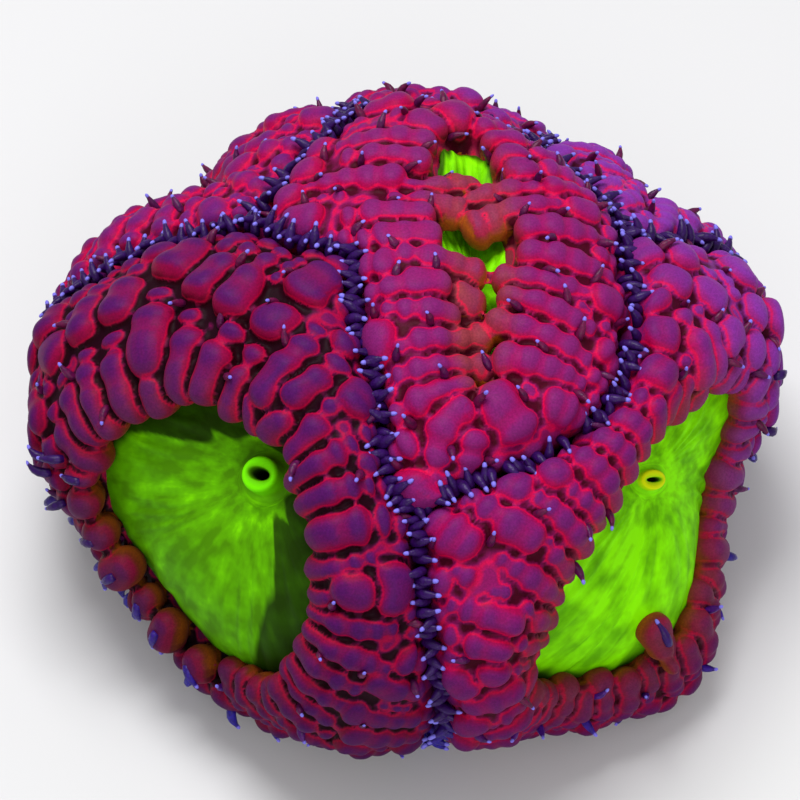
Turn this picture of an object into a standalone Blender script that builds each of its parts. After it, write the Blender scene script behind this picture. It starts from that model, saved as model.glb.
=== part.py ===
"""Blastomussa coral, a colony of six fleshy polyps cut off flat at its foot.

The colony is laid out on a dome. Seams on the dome part it into polyps. Each polyp is one closed solid: a
stalk that narrows down to the flat cut, a swollen mantle, and a cup in its top. An oral disc lies in each cup.
Units are metres, +Z is up, and the origin is the middle of the cut face.
"""

import math

import bmesh
import bpy
import numpy as np

MM = 0.001

# The dome that carries the creases between the polyps.
DOME_HALF_WIDTH = 34.5 * MM
DOME_HALF_DEPTH = 34.3 * MM
DOME_HALF_HEIGHT = 22.3 * MM
DOME_CENTRE_HEIGHT = 17.0 * MM
DOME_RADII = np.array([DOME_HALF_WIDTH, DOME_HALF_DEPTH, DOME_HALF_HEIGHT])

# Where the dome swells or sinks: azimuth and elevation in degrees, reach in degrees, share of the radius.
SWELLINGS = (
    (-135, 30, 26, -0.15),
    (-160, 46, 18, 0.04),
    (150, 28, 22, -0.08),
    (122, 24, 20, -0.08),
    (104, 12, 20, 0.07),
    (-95, 8, 20, 0.02),
    (-60, -12, 26, -0.10),
    (5, -14, 22, -0.03),
    (48, -16, 20, 0.07),
    (54, -34, 14, 0.20),
    (76, -8, 18, -0.10),
)

SEAM_HALF_GAP = 0.5 * MM
FOOT_EDGE_HEIGHT = 1.2 * MM
STALK_APEX_DEPTH = 14.0 * MM
LOWEST_FLESH = 0.6 * MM
ON_EDGE = 1e-6

# Where the foot's edge is looked for on the dome, and how closely.
STEEPEST_FOOT = -75.0
FOOT_HALVINGS = 40

# The mantle's section, from the seam (0) to the rim of the cup (1), with its height over the dome.
MANTLE_SECTION = (
    (0.00, -1.6 * MM),
    (0.07, 1.0 * MM),
    (0.20, 2.9 * MM),
    (0.38, 3.8 * MM),
    (0.56, 4.1 * MM),
    (0.74, 3.7 * MM),
    (0.90, 2.2 * MM),
    (1.00, -0.4 * MM),
)
CORNER_SINK = 0.5
LOBE_RISE = 0.45 * MM
BEAD_RISE = 0.25 * MM
BEAD_SPREAD = 1.1
CREST_SHARE = 0.5
RIM_STEPS = 360

CUP_FLOOR_AT_RIM = -3.8 * MM
CUP_FLOOR_AT_MOUTH = -5.6 * MM
DISC_GAP = 0.4 * MM
DISC_THICKNESS = 1.1 * MM
DISC_EDGE_GAP = 0.4 * MM
FOLD_RISE = 0.25 * MM
FLOOR_RINGS = (0.72, 0.42)
MOUTH_SPREAD = 1.15
MOUTH_OPENING = 0.5
MOUTH_FLOOR = 0.2
SHARP_ANGLE = math.radians(50)

JUNCTIONS = {
    "front": (2, 31),
    "right": (107, 38),
    "back_right": (150, 27),
    "back_left": (-168, 33),
    "left": (-112, 50),
}
FOOT = "foot"

# Each seam runs over the dome through these azimuths and elevations, in degrees.
SEAMS = {
    "left_right": ("front", (3, 20), (4, 11), (6, -3), (5, -20), (5, FOOT)),
    "left_top": ("front", (-4, 38), (-9, 52), (-30, 68), (-75, 77), (-100, 64), "left"),
    "right_top": ("front", (11, 34.5), (24, 35), (40, 35), (56, 36), (80, 40), (96, 41), "right"),
    "right_rear_right": ("right", (108, 31), (113, 17), (112, 0), (110, FOOT)),
    "top_rear_right": ("right", (129, 33), "back_right"),
    "rear_right_rear": ("back_right", (152, 5), (152, FOOT)),
    "top_rear": ("back_right", (170, 26), "back_left"),
    "top_rear_left": ("back_left", (-157, 41), (-140, 46), "left"),
    "rear_left_rear": ("back_left", (-168, 8), (-166, FOOT)),
    "left_rear_left": ("left", (-108, 42), (-106, 29), (-104, 17), (-102, 5), (-100, FOOT)),
}

# Each polyp: the seams round it in order, a minus for a seam run backwards, and "foot" between two of them
# where it stands on the cut; its cup's centre and half sizes on the dome in degrees, and the cup's turn; where
# the mouth lies in the cup, as shares of its half sizes; the number of lobes; the mouth's radii and height.
POLYPS = {
    "left_polyp": {
        "border": ("left_top", "left_rear_left", FOOT, "-left_right"),
        "cup": (-41, 14, 27, 27, 8),
        "lean": (60, 0.34),
        "mouth_at": (0.27, 0.57),
        "lobes": 30,
        "mouth": (1.9 * MM, 1.8 * MM, 2.6 * MM),
        "disc": "left_oral_disc",
    },
    "right_polyp": {
        "border": ("-right_top", "left_right", FOOT, "-right_rear_right"),
        "cup": (50, 8, 34, 20, 15),
        "lean": (140, 0.15),
        "mouth_at": (0.24, 0.45),
        "lobes": 28,
        "mouth": (2.0 * MM, 1.4 * MM, 0.9 * MM),
        "disc": "right_oral_disc",
    },
    "top_polyp": {
        "border": ("right_top", "top_rear_right", "top_rear", "top_rear_left", "-left_top"),
        "cup": (96, 73, 7.5, 41, 0),
        "lean": (90, 0.0),
        "mouth_at": (0.0, 0.1),
        "lobes": 32,
        "mouth": (0.7 * MM, 1.0 * MM, 0.7 * MM),
        "disc": "top_oral_disc",
    },
    "rear_left_polyp": {
        "border": ("-left_rear_left", "-top_rear_left", "rear_left_rear", FOOT),
        "cup": (-136, 10, 6, 17, -8),
        "lean": (90, 0.1),
        "mouth_at": (0.0, 0.0),
        "lobes": 20,
        "mouth": (0.9 * MM, 1.3 * MM, 0.7 * MM),
        "disc": "rear_left_oral_disc",
    },
    "rear_right_polyp": {
        "border": ("right_rear_right", FOOT, "-rear_right_rear", "-top_rear_right"),
        "cup": (131, 2, 6, 16, 6),
        "lean": (90, 0.1),
        "mouth_at": (0.0, 0.0),
        "lobes": 18,
        "mouth": (0.9 * MM, 1.3 * MM, 0.7 * MM),
        "disc": "rear_right_oral_disc",
    },
    "rear_polyp": {
        "border": ("rear_right_rear", FOOT, "-rear_left_rear", "-top_rear"),
        "cup": (172, 0, 6, 15, 0),
        "lean": (90, 0.1),
        "mouth_at": (0.0, 0.0),
        "lobes": 18,
        "mouth": (0.9 * MM, 1.3 * MM, 0.7 * MM),
        "disc": "rear_oral_disc",
    },
}

FLESH_COLOURS = {
    "left_polyp": (0.16, 0.025, 0.19),
    "right_polyp": (0.20, 0.030, 0.17),
    "top_polyp": (0.26, 0.035, 0.14),
    "rear_left_polyp": (0.18, 0.030, 0.17),
    "rear_right_polyp": (0.22, 0.045, 0.26),
    "rear_polyp": (0.20, 0.035, 0.20),
}
DISC_COLOUR = (0.10, 0.55, 0.0)
FLESH_ROUGHNESS = 0.45


def clear_scene():
    for scene_object in list(bpy.data.objects):
        bpy.data.objects.remove(scene_object, do_unlink=True)


def unit(vectors):
    return vectors / np.linalg.norm(vectors, axis=-1, keepdims=True)


def direction(azimuth, elevation):
    """Unit vector from the dome's centre. Azimuth 0 faces -Y and 90 faces +X."""
    azimuth, elevation = math.radians(azimuth), math.radians(elevation)
    return np.array(
        [
            math.cos(elevation) * math.sin(azimuth),
            -math.cos(elevation) * math.cos(azimuth),
            math.sin(elevation),
        ]
    )


def dome_point(directions, height=0.0):
    """Points at a height over the dome, in these directions from its centre."""
    radius = 1 / np.linalg.norm(directions / DOME_RADII, axis=-1)
    for azimuth, elevation, reach, share in SWELLINGS:
        angle = np.arccos(np.clip(directions @ direction(azimuth, elevation), -1, 1))
        radius = radius * (1 + share * np.exp(-((angle / math.radians(reach)) ** 2)))
    surface = directions * radius[..., None]
    normals = unit(surface / DOME_RADII**2)
    points = surface + normals * np.asarray(height)[..., None]
    points[..., 2] += DOME_CENTRE_HEIGHT
    return points


def foot_elevation(azimuth):
    """The elevation at which the dome comes down to the edge of the foot."""
    low, high = STEEPEST_FOOT, 0.0
    for _ in range(FOOT_HALVINGS):
        middle = (low + high) / 2
        if dome_point(direction(azimuth, middle))[2] < FOOT_EDGE_HEIGHT:
            low = middle
        else:
            high = middle
    return high


def place(point):
    """The direction of a junction's name or of an (azimuth, elevation) pair."""
    azimuth, elevation = JUNCTIONS[point] if isinstance(point, str) else point
    return direction(azimuth, foot_elevation(azimuth) if elevation == FOOT else elevation)


def seam_curve(seam, steps=12):
    """Directions along a smooth curve through a seam's points."""
    knots = [place(point) for point in SEAMS[seam]]
    knots = [2 * knots[0] - knots[1], *knots, 2 * knots[-1] - knots[-2]]
    curve = []
    for a, b, c, d in zip(knots, knots[1:], knots[2:], knots[3:]):
        for t in np.linspace(0, 1, steps, endpoint=False):
            curve.append(
                b
                + 0.5 * t * (c - a)
                + t**2 * (a - 2.5 * b + 2 * c - 0.5 * d)
                + t**3 * (1.5 * (b - c) + 0.5 * (d - a))
            )
    curve.append(knots[-2])
    return unit(np.array(curve))


def foot_curve(start, end, steps=24):
    """Directions along the edge of the foot, from one seam's end round to another's."""
    first, last = (math.degrees(math.atan2(v[0], -v[1])) for v in (start, end))
    if last < first:
        last += 360
    return np.array([direction(a, foot_elevation(a)) for a in np.linspace(first, last, steps)])


def cell_border(polyp):
    """The closed line of seams round a polyp, as directions, without its repeated end points."""
    sides = []
    for seam in POLYPS[polyp]["border"]:
        if seam == FOOT:
            sides.append(None)
        elif seam.startswith("-"):
            sides.append(seam_curve(seam[1:])[::-1])
        else:
            sides.append(seam_curve(seam))
    for i, side in enumerate(sides):
        if side is None:
            sides[i] = foot_curve(sides[i - 1][-1], sides[(i + 1) % len(sides)][0])
    return np.concatenate([side[:-1] for side in sides])


def chart_axes(azimuth, elevation):
    """Right, up and outward axes of a flat chart of the dome that is centred on a direction."""
    outward = direction(azimuth, elevation)
    lead = np.array([0.0, 1.0, 0.0]) if abs(outward[2]) > 0.9 else np.array([0.0, 0.0, 1.0])
    right = unit(np.cross(lead, outward))
    return right, np.cross(outward, right), outward


def to_chart(directions, axes):
    right, up, outward = axes
    angle = np.arccos(np.clip(directions @ outward, -1, 1))
    flat = np.stack([directions @ right, directions @ up], -1)
    return flat / (np.linalg.norm(flat, axis=-1, keepdims=True) + 1e-12) * angle[..., None]


def from_chart(flat, axes):
    right, up, outward = axes
    angle = np.linalg.norm(flat, axis=-1, keepdims=True) + 1e-12
    across = flat[..., :1] / angle * right + flat[..., 1:] / angle * up
    return np.cos(angle) * outward + np.sin(angle) * across


def cup_rim(cup, turns):
    """The cup's oval rim in its chart and its outward normals, at angles round it."""
    half_width, half_height, turn = np.radians(cup[2:])
    rim = np.stack([half_width * np.cos(turns), half_height * np.sin(turns)], -1)
    normals = unit(np.stack([np.cos(turns) / half_width, np.sin(turns) / half_height], -1))
    spin = np.array([[math.cos(turn), math.sin(turn)], [-math.sin(turn), math.cos(turn)]])
    return rim @ spin, normals @ spin


def reach_border(start, heading, border):
    """Where a ray on the chart first meets the closed border."""
    edges = np.roll(border, -1, axis=0) - border
    offsets = border - start
    cross = heading[0] * edges[:, 1] - heading[1] * edges[:, 0]
    cross = np.where(np.abs(cross) < 1e-12, 1e-12, cross)
    distance = (offsets[:, 0] * edges[:, 1] - offsets[:, 1] * edges[:, 0]) / cross
    along = (offsets[:, 0] * heading[1] - offsets[:, 1] * heading[0]) / cross
    hits = distance[(along > -ON_EDGE) & (along < 1 + ON_EDGE) & (distance > 0)]
    return start + heading * (hits.min() - SEAM_HALF_GAP / DOME_HALF_WIDTH)


def lip_stations(polyp, count):
    """Matching rim and border points, evenly spaced along the crest of the mantle."""
    axes = chart_axes(*POLYPS[polyp]["cup"][:2])
    border = to_chart(cell_border(polyp), axes)
    turns = np.linspace(0, 2 * math.pi, RIM_STEPS, endpoint=False)
    rim, normals = cup_rim(POLYPS[polyp]["cup"], turns)
    outer = np.array([reach_border(p, n, border) for p, n in zip(rim, normals)])
    crest = rim + CREST_SHARE * (outer - rim)
    steps = np.linalg.norm(np.roll(crest, -1, axis=0) - crest, axis=1)
    travelled = np.concatenate([[0], np.cumsum(steps)])
    wanted = np.interp(
        np.linspace(0, travelled[-1], count, endpoint=False), travelled, np.append(turns, 2 * math.pi)
    )
    rim, normals = cup_rim(POLYPS[polyp]["cup"], wanted)
    outer = np.array([reach_border(p, n, border) for p, n in zip(rim, normals)])
    return axes, rim, outer


def mouth_place(polyp):
    """The mouth's place in the chart of its cup."""
    cup = POLYPS[polyp]["cup"]
    half_width, half_height, turn = np.radians(cup[2:])
    x, y = POLYPS[polyp]["mouth_at"]
    spin = np.array([[math.cos(turn), math.sin(turn)], [-math.sin(turn), math.cos(turn)]])
    return np.array([x * half_width, y * half_height]) @ spin


def lip_lifts(polyp, rim, outer):
    """How tall the mantle stands round the cup: it leans one way and sinks where it spreads out to a corner."""
    angle, share = POLYPS[polyp]["lean"]
    spans = outer - rim
    widths = np.linalg.norm(spans, axis=1)
    headings = np.arctan2(spans[:, 1], spans[:, 0])
    spread = np.minimum((np.median(widths) / widths) ** CORNER_SINK, 1.0)
    return spread * (1 + share * np.cos(headings - math.radians(angle)))


def ring_solid(name, rings, first_pole, last_pole):
    """A closed body: a sphere whose rings are moved, in order, onto these rings of points."""
    count = len(rings[0])
    rows = len(rings) + 1
    body = bmesh.new()
    bmesh.ops.create_uvsphere(body, u_segments=count, v_segments=rows, radius=1.0)
    for vertex in body.verts:
        row = round(math.acos(max(-1.0, min(1.0, -vertex.co.z))) / math.pi * rows)
        column = round(math.atan2(vertex.co.y, vertex.co.x) / (2 * math.pi) * count) % count
        if row == 0:
            vertex.co = first_pole
        elif row == rows:
            vertex.co = last_pole
        else:
            vertex.co = rings[row - 1][column]
    bmesh.ops.triangulate(body, faces=body.faces, quad_method="SHORT_EDGE")
    if body.calc_volume(signed=True) < 0:
        bmesh.ops.reverse_faces(body, faces=body.faces)
    mesh = bpy.data.meshes.new(name)
    body.to_mesh(mesh)
    body.free()
    mesh.shade_smooth()
    mesh.set_sharp_from_angle(angle=SHARP_ANGLE)
    return bpy.data.objects.new(name, mesh)


def foot_outline(border_points):
    """The border drawn down to the cut along lines to an apex below the foot."""
    share = STALK_APEX_DEPTH / (STALK_APEX_DEPTH + border_points[:, 2:])
    outline = border_points * share
    outline[:, 2] = 0.0
    return outline


def floor_height(share):
    """Height of the cup's floor, from the mouth (0) out to the rim (1)."""
    return CUP_FLOOR_AT_MOUTH + share * (CUP_FLOOR_AT_RIM - CUP_FLOOR_AT_MOUTH)


def polyp_body(polyp):
    """Stalk, mantle and cup of one polyp."""
    count = 2 * POLYPS[polyp]["lobes"]
    axes, rim, outer = lip_stations(polyp, count)
    crests = np.where(np.arange(count) % 2 == 0, 1.0, -1.0)
    lifts = lip_lifts(polyp, rim, outer)
    rings = []
    for i, (along, height) in enumerate(MANTLE_SECTION):
        swell = math.sin(math.pi * min(along * BEAD_SPREAD, 1.0))
        bead = BEAD_RISE * (1 if i % 2 else -1)
        heights = height * (lifts if height > 0 else 1) + swell * (LOBE_RISE * crests + bead)
        rings.append(dome_point(from_chart(outer + along * (rim - outer), axes), heights))
        rings[-1][:, 2] = np.maximum(rings[-1][:, 2], LOWEST_FLESH)
    mouth = mouth_place(polyp)
    for share in (1.0, *FLOOR_RINGS):
        flat = mouth + share * (rim - mouth)
        rings.append(dome_point(from_chart(flat, axes), np.full(count, floor_height(share))))
    foot = foot_outline(rings[0])
    last_pole = dome_point(from_chart(mouth, axes), CUP_FLOOR_AT_MOUTH)
    return ring_solid(polyp, [foot, *rings], foot.mean(axis=0), last_pole)


def oral_disc(polyp):
    """The folded disc in a polyp's cup, with its mouth standing up as a short tube."""
    settings = POLYPS[polyp]
    count = settings["lobes"]
    axes, rim, outer = lip_stations(polyp, count)
    mouth = mouth_place(polyp)
    edge = rim - unit(outer - rim) * DISC_EDGE_GAP / DOME_HALF_WIDTH
    folds = np.where(np.arange(count) % 2 == 0, FOLD_RISE, -FOLD_RISE)
    radius_across, radius_up, mouth_height = settings["mouth"]
    mouth_ring = unit(edge - mouth) * np.array([radius_across, radius_up]) / DOME_HALF_WIDTH

    def ring(flat, height):
        return dome_point(from_chart(flat, axes), np.broadcast_to(height, count))

    def spread(share):
        return mouth + share * (edge - mouth)

    top = DISC_GAP + DISC_THICKNESS
    top_at_mouth = floor_height(0) + top
    rings = [ring(spread(share), floor_height(share) + DISC_GAP) for share in (*FLOOR_RINGS[::-1], 1.0)]
    rings.append(ring(edge, floor_height(1) + top))
    rings += [ring(spread(share), floor_height(share) + top + folds) for share in FLOOR_RINGS]
    rings.append(ring(mouth + MOUTH_SPREAD * mouth_ring, top_at_mouth))
    rings.append(ring(mouth + mouth_ring, top_at_mouth + mouth_height))
    rings.append(ring(mouth + MOUTH_OPENING * mouth_ring, top_at_mouth + mouth_height))
    first_pole = dome_point(from_chart(mouth, axes), floor_height(0) + DISC_GAP)
    last_pole = dome_point(from_chart(mouth, axes), top_at_mouth + MOUTH_FLOOR * mouth_height)
    return ring_solid(settings["disc"], rings, first_pole, last_pole)


def finish(name, colour):
    material = bpy.data.materials.new(name)
    material.use_nodes = True
    shader = material.node_tree.nodes["Principled BSDF"]
    shader.inputs["Base Color"].default_value = (*colour, 1.0)
    shader.inputs["Roughness"].default_value = FLESH_ROUGHNESS
    shader.inputs["Metallic"].default_value = 0.0
    return material


def main():
    clear_scene()
    colony = bpy.data.collections.new("blastomussa_coral")
    bpy.context.scene.collection.children.link(colony)
    for polyp, settings in POLYPS.items():
        body = polyp_body(polyp)
        body.data.materials.append(finish(polyp + "_flesh", FLESH_COLOURS[polyp]))
        colony.objects.link(body)
        disc = oral_disc(polyp)
        disc.data.materials.append(finish(disc.name + "_flesh", DISC_COLOUR))
        colony.objects.link(disc)


main()
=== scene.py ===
import math

import bpy
import numpy as np
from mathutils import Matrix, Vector, kdtree


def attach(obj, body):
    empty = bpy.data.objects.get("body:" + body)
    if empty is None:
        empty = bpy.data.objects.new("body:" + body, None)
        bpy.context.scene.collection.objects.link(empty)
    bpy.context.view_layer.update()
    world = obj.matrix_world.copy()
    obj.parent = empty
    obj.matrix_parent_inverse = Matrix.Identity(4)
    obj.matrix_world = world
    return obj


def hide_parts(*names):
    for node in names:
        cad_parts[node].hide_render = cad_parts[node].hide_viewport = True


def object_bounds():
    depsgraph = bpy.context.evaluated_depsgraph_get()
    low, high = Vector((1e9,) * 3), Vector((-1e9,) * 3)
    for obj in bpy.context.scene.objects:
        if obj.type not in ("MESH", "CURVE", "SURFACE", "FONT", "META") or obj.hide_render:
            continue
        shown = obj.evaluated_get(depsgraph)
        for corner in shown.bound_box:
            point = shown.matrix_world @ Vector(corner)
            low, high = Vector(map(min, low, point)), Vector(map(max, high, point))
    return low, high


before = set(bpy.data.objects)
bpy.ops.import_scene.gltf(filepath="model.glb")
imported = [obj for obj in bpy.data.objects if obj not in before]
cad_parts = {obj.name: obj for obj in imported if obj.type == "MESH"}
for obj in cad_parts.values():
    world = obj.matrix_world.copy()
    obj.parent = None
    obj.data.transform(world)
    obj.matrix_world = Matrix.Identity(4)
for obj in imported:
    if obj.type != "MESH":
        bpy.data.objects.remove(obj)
cadLow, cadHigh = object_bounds()
bpy.ops.object.select_all(action="DESELECT")
print("frame loaded")

mm = 0.001
chance = np.random.default_rng(23)


def pickOnly(*items):
    bpy.ops.object.select_all(action="DESELECT")
    for item in items:
        item.select_set(True)
    bpy.context.view_layer.objects.active = items[-1]


def ownCopy(item):
    copy = item.copy()
    copy.data = item.data.copy()
    bpy.context.collection.objects.link(copy)
    return copy


def faceOutwards():
    # turns the active mesh's faces outwards
    bpy.ops.object.mode_set(mode="EDIT")
    bpy.ops.mesh.select_all(action="SELECT")
    bpy.ops.mesh.normals_make_consistent(inside=False)
    bpy.ops.object.mode_set(mode="OBJECT")


def valuesOf(rows, name, width=3, kind=float):
    flat = np.empty(len(rows) * width, kind)
    rows.foreach_get(name, flat)
    return flat.reshape(-1, width)


def pointsOf(item):
    return valuesOf(item.data.vertices, "co")


def putPoints(item, points):
    item.data.vertices.foreach_set("co", np.ascontiguousarray(points, np.float32).ravel())
    item.data.update()


def addMark(item, name, values):
    kind = "FLOAT" if values.ndim == 1 else "FLOAT_VECTOR"
    mark = item.data.attributes.new(name, kind, "POINT")
    mark.data.foreach_set("value" if kind == "FLOAT" else "vector", values.astype(np.float32).ravel())


def markOf(item, name):
    return valuesOf(item.data.attributes[name].data, "value", 1, np.float32)[:, 0]


def keepInside(points, margin=1.6):
    # points in mm, drawn in softly where they come near the solid model's outer box
    low, high = np.array(cadLow) / mm, np.array(cadHigh) / mm
    over = np.maximum(points - (high - margin), 0)
    under = np.maximum(low + margin - points, 0)
    under[:, 2] = 0
    drawn = points - over + margin * (1 - np.exp(-over / margin))
    drawn = drawn + under - margin * (1 - np.exp(-under / margin))
    drawn[:, 2] = np.maximum(drawn[:, 2], 0)
    return drawn


def unit(vectors):
    return vectors / (np.linalg.norm(vectors, axis=-1, keepdims=True) + 1e-12)


def spinBy(turn):
    # turns rows of chart points by this many radians
    return np.array([[math.cos(turn), math.sin(turn)], [-math.sin(turn), math.cos(turn)]])


def blend(edges, x):
    low, high = edges
    t = np.clip((x - low) / (high - low), 0, 1)
    return t * t * (3 - 2 * t)


def tone(red, green, blue):
    # a screen colour, 0 to 255, as the shader's own numbers
    def straight(value):
        value /= 255
        return value / 12.92 if value <= 0.04045 else ((value + 0.055) / 1.055) ** 2.4
    return (straight(red), straight(green), straight(blue), 1.0)


# the colony's layout: a dome, the seams on it and the polyps between them, with lengths in mm
dome = {
    "radii": np.array([34.5, 34.3, 22.3]),
    "centreHeight": 17.0,
    # azimuth, elevation and reach in degrees, share of the radius
    "swellings": (
        (-135, 30, 26, -0.15), (-160, 46, 18, 0.04), (150, 28, 22, -0.08), (122, 24, 20, -0.08),
        (104, 12, 20, 0.07), (-95, 8, 20, 0.02), (-60, -12, 26, -0.10), (5, -14, 22, -0.03),
        (48, -16, 20, 0.07), (54, -34, 14, 0.20), (76, -8, 18, -0.10),
    ),
    "seamHalfGap": 0.3,
    "footEdge": 1.2,              # the height at which the dome ends
    "stalkApex": 14.0,            # how far below the cut the stalks would meet
    "lowestFlesh": 0.6,
}

# places as azimuth and elevation in degrees
junctions = {
    "front": (2, 31), "right": (107, 38), "backRight": (150, 27), "backLeft": (-168, 33), "left": (-112, 50),
}
foot = "foot"
seams = {
    "leftRight": ("front", (3, 20), (4, 11), (6, -3), (5, -20), (5, foot)),
    "leftTop": ("front", (-4, 38), (-9, 52), (-30, 68), (-75, 77), (-100, 64), "left"),
    "rightTop": ("front", (11, 34.5), (24, 35), (40, 35), (56, 36), (80, 40), (96, 41), "right"),
    "rightRearRight": ("right", (108, 31), (113, 17), (112, 0), (110, foot)),
    "topRearRight": ("right", (129, 33), "backRight"),
    "rearRightRear": ("backRight", (152, 5), (152, foot)),
    "topRear": ("backRight", (170, 26), "backLeft"),
    "topRearLeft": ("backLeft", (-157, 41), (-140, 46), "left"),
    "rearLeftRear": ("backLeft", (-168, 8), (-166, foot)),
    "leftRearLeft": ("left", (-108, 42), (-106, 29), (-104, 17), (-102, 5), (-100, foot)),
}

# what the three polyps at the back share
rearPolyp = {
    "lean": (90, 0.1), "mouthAt": (0.0, 0.0),
    "longShare": 0.45, "lobeWidth": 2.8, "overhang": 0.1, "sides": (),
    # the waves on the edge of the disc's painted shadow, and where that shadow starts
    "scallops": (9, 0.06), "shadowFrom": ((0, 0.85), (360, 0.85)),
    "mouth": {"across": 0.9, "up": 1.2, "turn": 0, "rise": 0.6, "slit": 0.6},
}

# Each polyp: the seams round it, its cup (azimuth, elevation, half width, half height, turn in degrees), the
# side its mantle is taller on (degrees, share), where its mouth lies, and how its lobes and disc look.
polyps = {
    "left": {
        "border": ("leftTop", "leftRearLeft", foot, "-leftRight"),
        "cup": (-41, 14, 27, 27, 8), "lean": (70, 0.2), "mouthAt": (0.32, 0.64),
        "longShare": 0.9, "lobeWidth": 2.75, "overhang": 0.14,
        # from the mouth (0) out to the rim (1), where the disc's painted shadow starts: degrees, share
        "shadowFrom": ((0, 0.08), (40, 0.08), (75, 0.2), (100, 0.34), (125, 0.34), (142, 0.52), (162, 0.86),
                (182, 1.04), (292, 1.04), (318, 0.5), (340, 0.16), (360, 0.08)),
        "scallops": (4.5, 0.2),       # number and depth of the waves on the edge of the painted shadow
        # sides of the cup in degrees, their reach and how much the lobes draw back there
        "pulledBack": ((50, 55, 0.09),), "rimTentacles": 0.6,
        # round lobes that stand apart on the rim: from one side of the cup to another, gap and sizes in mm
        "beads": ((186, 290, 0.4, (1.25, 1.8)),),
        # single ones: side of the cup, row, kind, size, lift in mm, and 1 or -1 for a tentacle in or out
        "reaching": ((228, 1.04, "pairA", 1.35, 0.9, -1), (261, 1.04, "pairA", 1.2, 0.9, -1)),
        # sides with larger lobes, and sides with round ones
        "sides": ((120, 60, 0.45), (20, 45, 0.2), (235, 60, 0.3)), "roundSides": ((235, 55),),
        "mouth": {"across": 2.2, "up": 2.0, "turn": 13, "rise": 2.3, "slit": 0.6},
    },
    "right": {
        "border": ("-rightTop", "leftRight", foot, "-rightRearRight"),
        "cup": (50, 8, 34, 20, 15), "lean": (140, 0.15), "mouthAt": (0.24, 0.45),
        "longShare": 0.9, "lobeWidth": 2.75, "overhang": 0.2,
        # the waves on the edge of the disc's painted shadow, and where that shadow starts
        "scallops": (9, 0.06), "shadowFrom": ((0, 0.9), (360, 0.9)),
        "rimTentacles": 0.12, "reaching": ((-87, 1.2, "bulbC", 1.1, 1.9, 1),),
        "sides": ((150, 50, 0.22), (-20, 60, 0.4), (60, 40, 0.25)), "roundSides": ((-15, 55),),
        "mouth": {"across": 1.95, "up": 1.1, "turn": -37, "rise": 0.7, "slit": 0.45},
    },
    "top": {
        "border": ("rightTop", "topRearRight", "topRear", "topRearLeft", "-leftTop"),
        "cup": (96, 73, 7.5, 41, 0), "lean": (90, 0.0), "mouthAt": (0.0, -0.12), "discHeight": -0.9,
        "longShare": 0.9, "lobeWidth": 3.2, "overhang": 0.5, "leastOverhang": 0.75,
        # the waves on the edge of the disc's painted shadow, and where that shadow starts
        "scallops": (9, 0.06), "shadowFrom": ((0, 0.9), (360, 0.9)),
        # where the lobes stop short along the slit and the disc shows: y, reach in mm, the row they stop at
        "windows": ((14.4, 5.0, 0.84), (0.5, 3.0, 0.86), (-7.7, 1.0, 1.0), (-16.0, 1.0, 1.0)),
        "discSwells": ((14.4, 4.0, 2.2), (0.5, 2.5, 0.8)),   # where the disc rises: y, reach and rise in mm
        "sides": ((-90, 40, 0.3), (90, 60, 0.1)),
        "mouth": {"across": 0.7, "up": 1.2, "turn": 0, "rise": 0.6, "slit": 0.6},
    },
    "rearLeft": {
        **rearPolyp, "border": ("-leftRearLeft", "-topRearLeft", "rearLeftRear", foot),
        "cup": (-136, 10, 6, 17, -8), "longShare": 0.5, "lobeWidth": 2.9, "sides": ((90, 60, 0.3),),
    },
    "rearRight": {
        **rearPolyp, "border": ("rightRearRight", foot, "-rearRightRear", "-topRearRight"),
        "cup": (131, 2, 6, 16, 6),
    },
    "rear": {
        **rearPolyp, "border": ("rearRightRear", foot, "-rearLeftRear", "-topRear"),
        "cup": (172, 0, 6, 15, 0),
    },
}


def heading(azimuth, elevation):
    a, e = math.radians(azimuth), math.radians(elevation)
    return np.array([math.cos(e) * math.sin(a), -math.cos(e) * math.cos(a), math.sin(e)])


def domePoint(ways, height=0.0):
    radius = 1 / np.linalg.norm(ways / dome["radii"], axis=-1)
    for azimuth, elevation, reach, share in dome["swellings"]:
        angle = np.arccos(np.clip(ways @ heading(azimuth, elevation), -1, 1))
        radius = radius * (1 + share * np.exp(-((angle / math.radians(reach)) ** 2)))
    surface = ways * radius[..., None]
    out = surface + unit(surface / dome["radii"] ** 2) * np.asarray(height)[..., None]
    out[..., 2] += dome["centreHeight"]
    return out


def footElevation(azimuth):
    # where the dome comes down to the foot's edge, found by halving
    low, high = -75.0, 0.0
    for _ in range(40):
        middle = (low + high) / 2
        if domePoint(heading(azimuth, middle))[2] < dome["footEdge"]:
            low = middle
        else:
            high = middle
    return high


def placeOf(point):
    azimuth, elevation = junctions[point] if isinstance(point, str) else point
    return heading(azimuth, footElevation(azimuth) if elevation == foot else elevation)


def seamCurve(seam, steps=12):
    # a smooth curve through the seam's places
    knots = [placeOf(point) for point in seams[seam]]
    knots = [2 * knots[0] - knots[1], *knots, 2 * knots[-1] - knots[-2]]
    curve = []
    for a, b, c, d in zip(knots, knots[1:], knots[2:], knots[3:]):
        for t in np.linspace(0, 1, steps, endpoint=False):
            curve.append(b + 0.5 * t * (c - a) + t**2 * (a - 2.5 * b + 2 * c - 0.5 * d)
                         + t**3 * (1.5 * (b - c) + 0.5 * (d - a)))
    curve.append(knots[-2])
    return unit(np.array(curve))


def footCurve(start, end, steps=24):
    first, last = (math.degrees(math.atan2(v[0], -v[1])) for v in (start, end))
    if last < first:
        last += 360
    return np.array([heading(a, footElevation(a)) for a in np.linspace(first, last, steps)])


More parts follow.
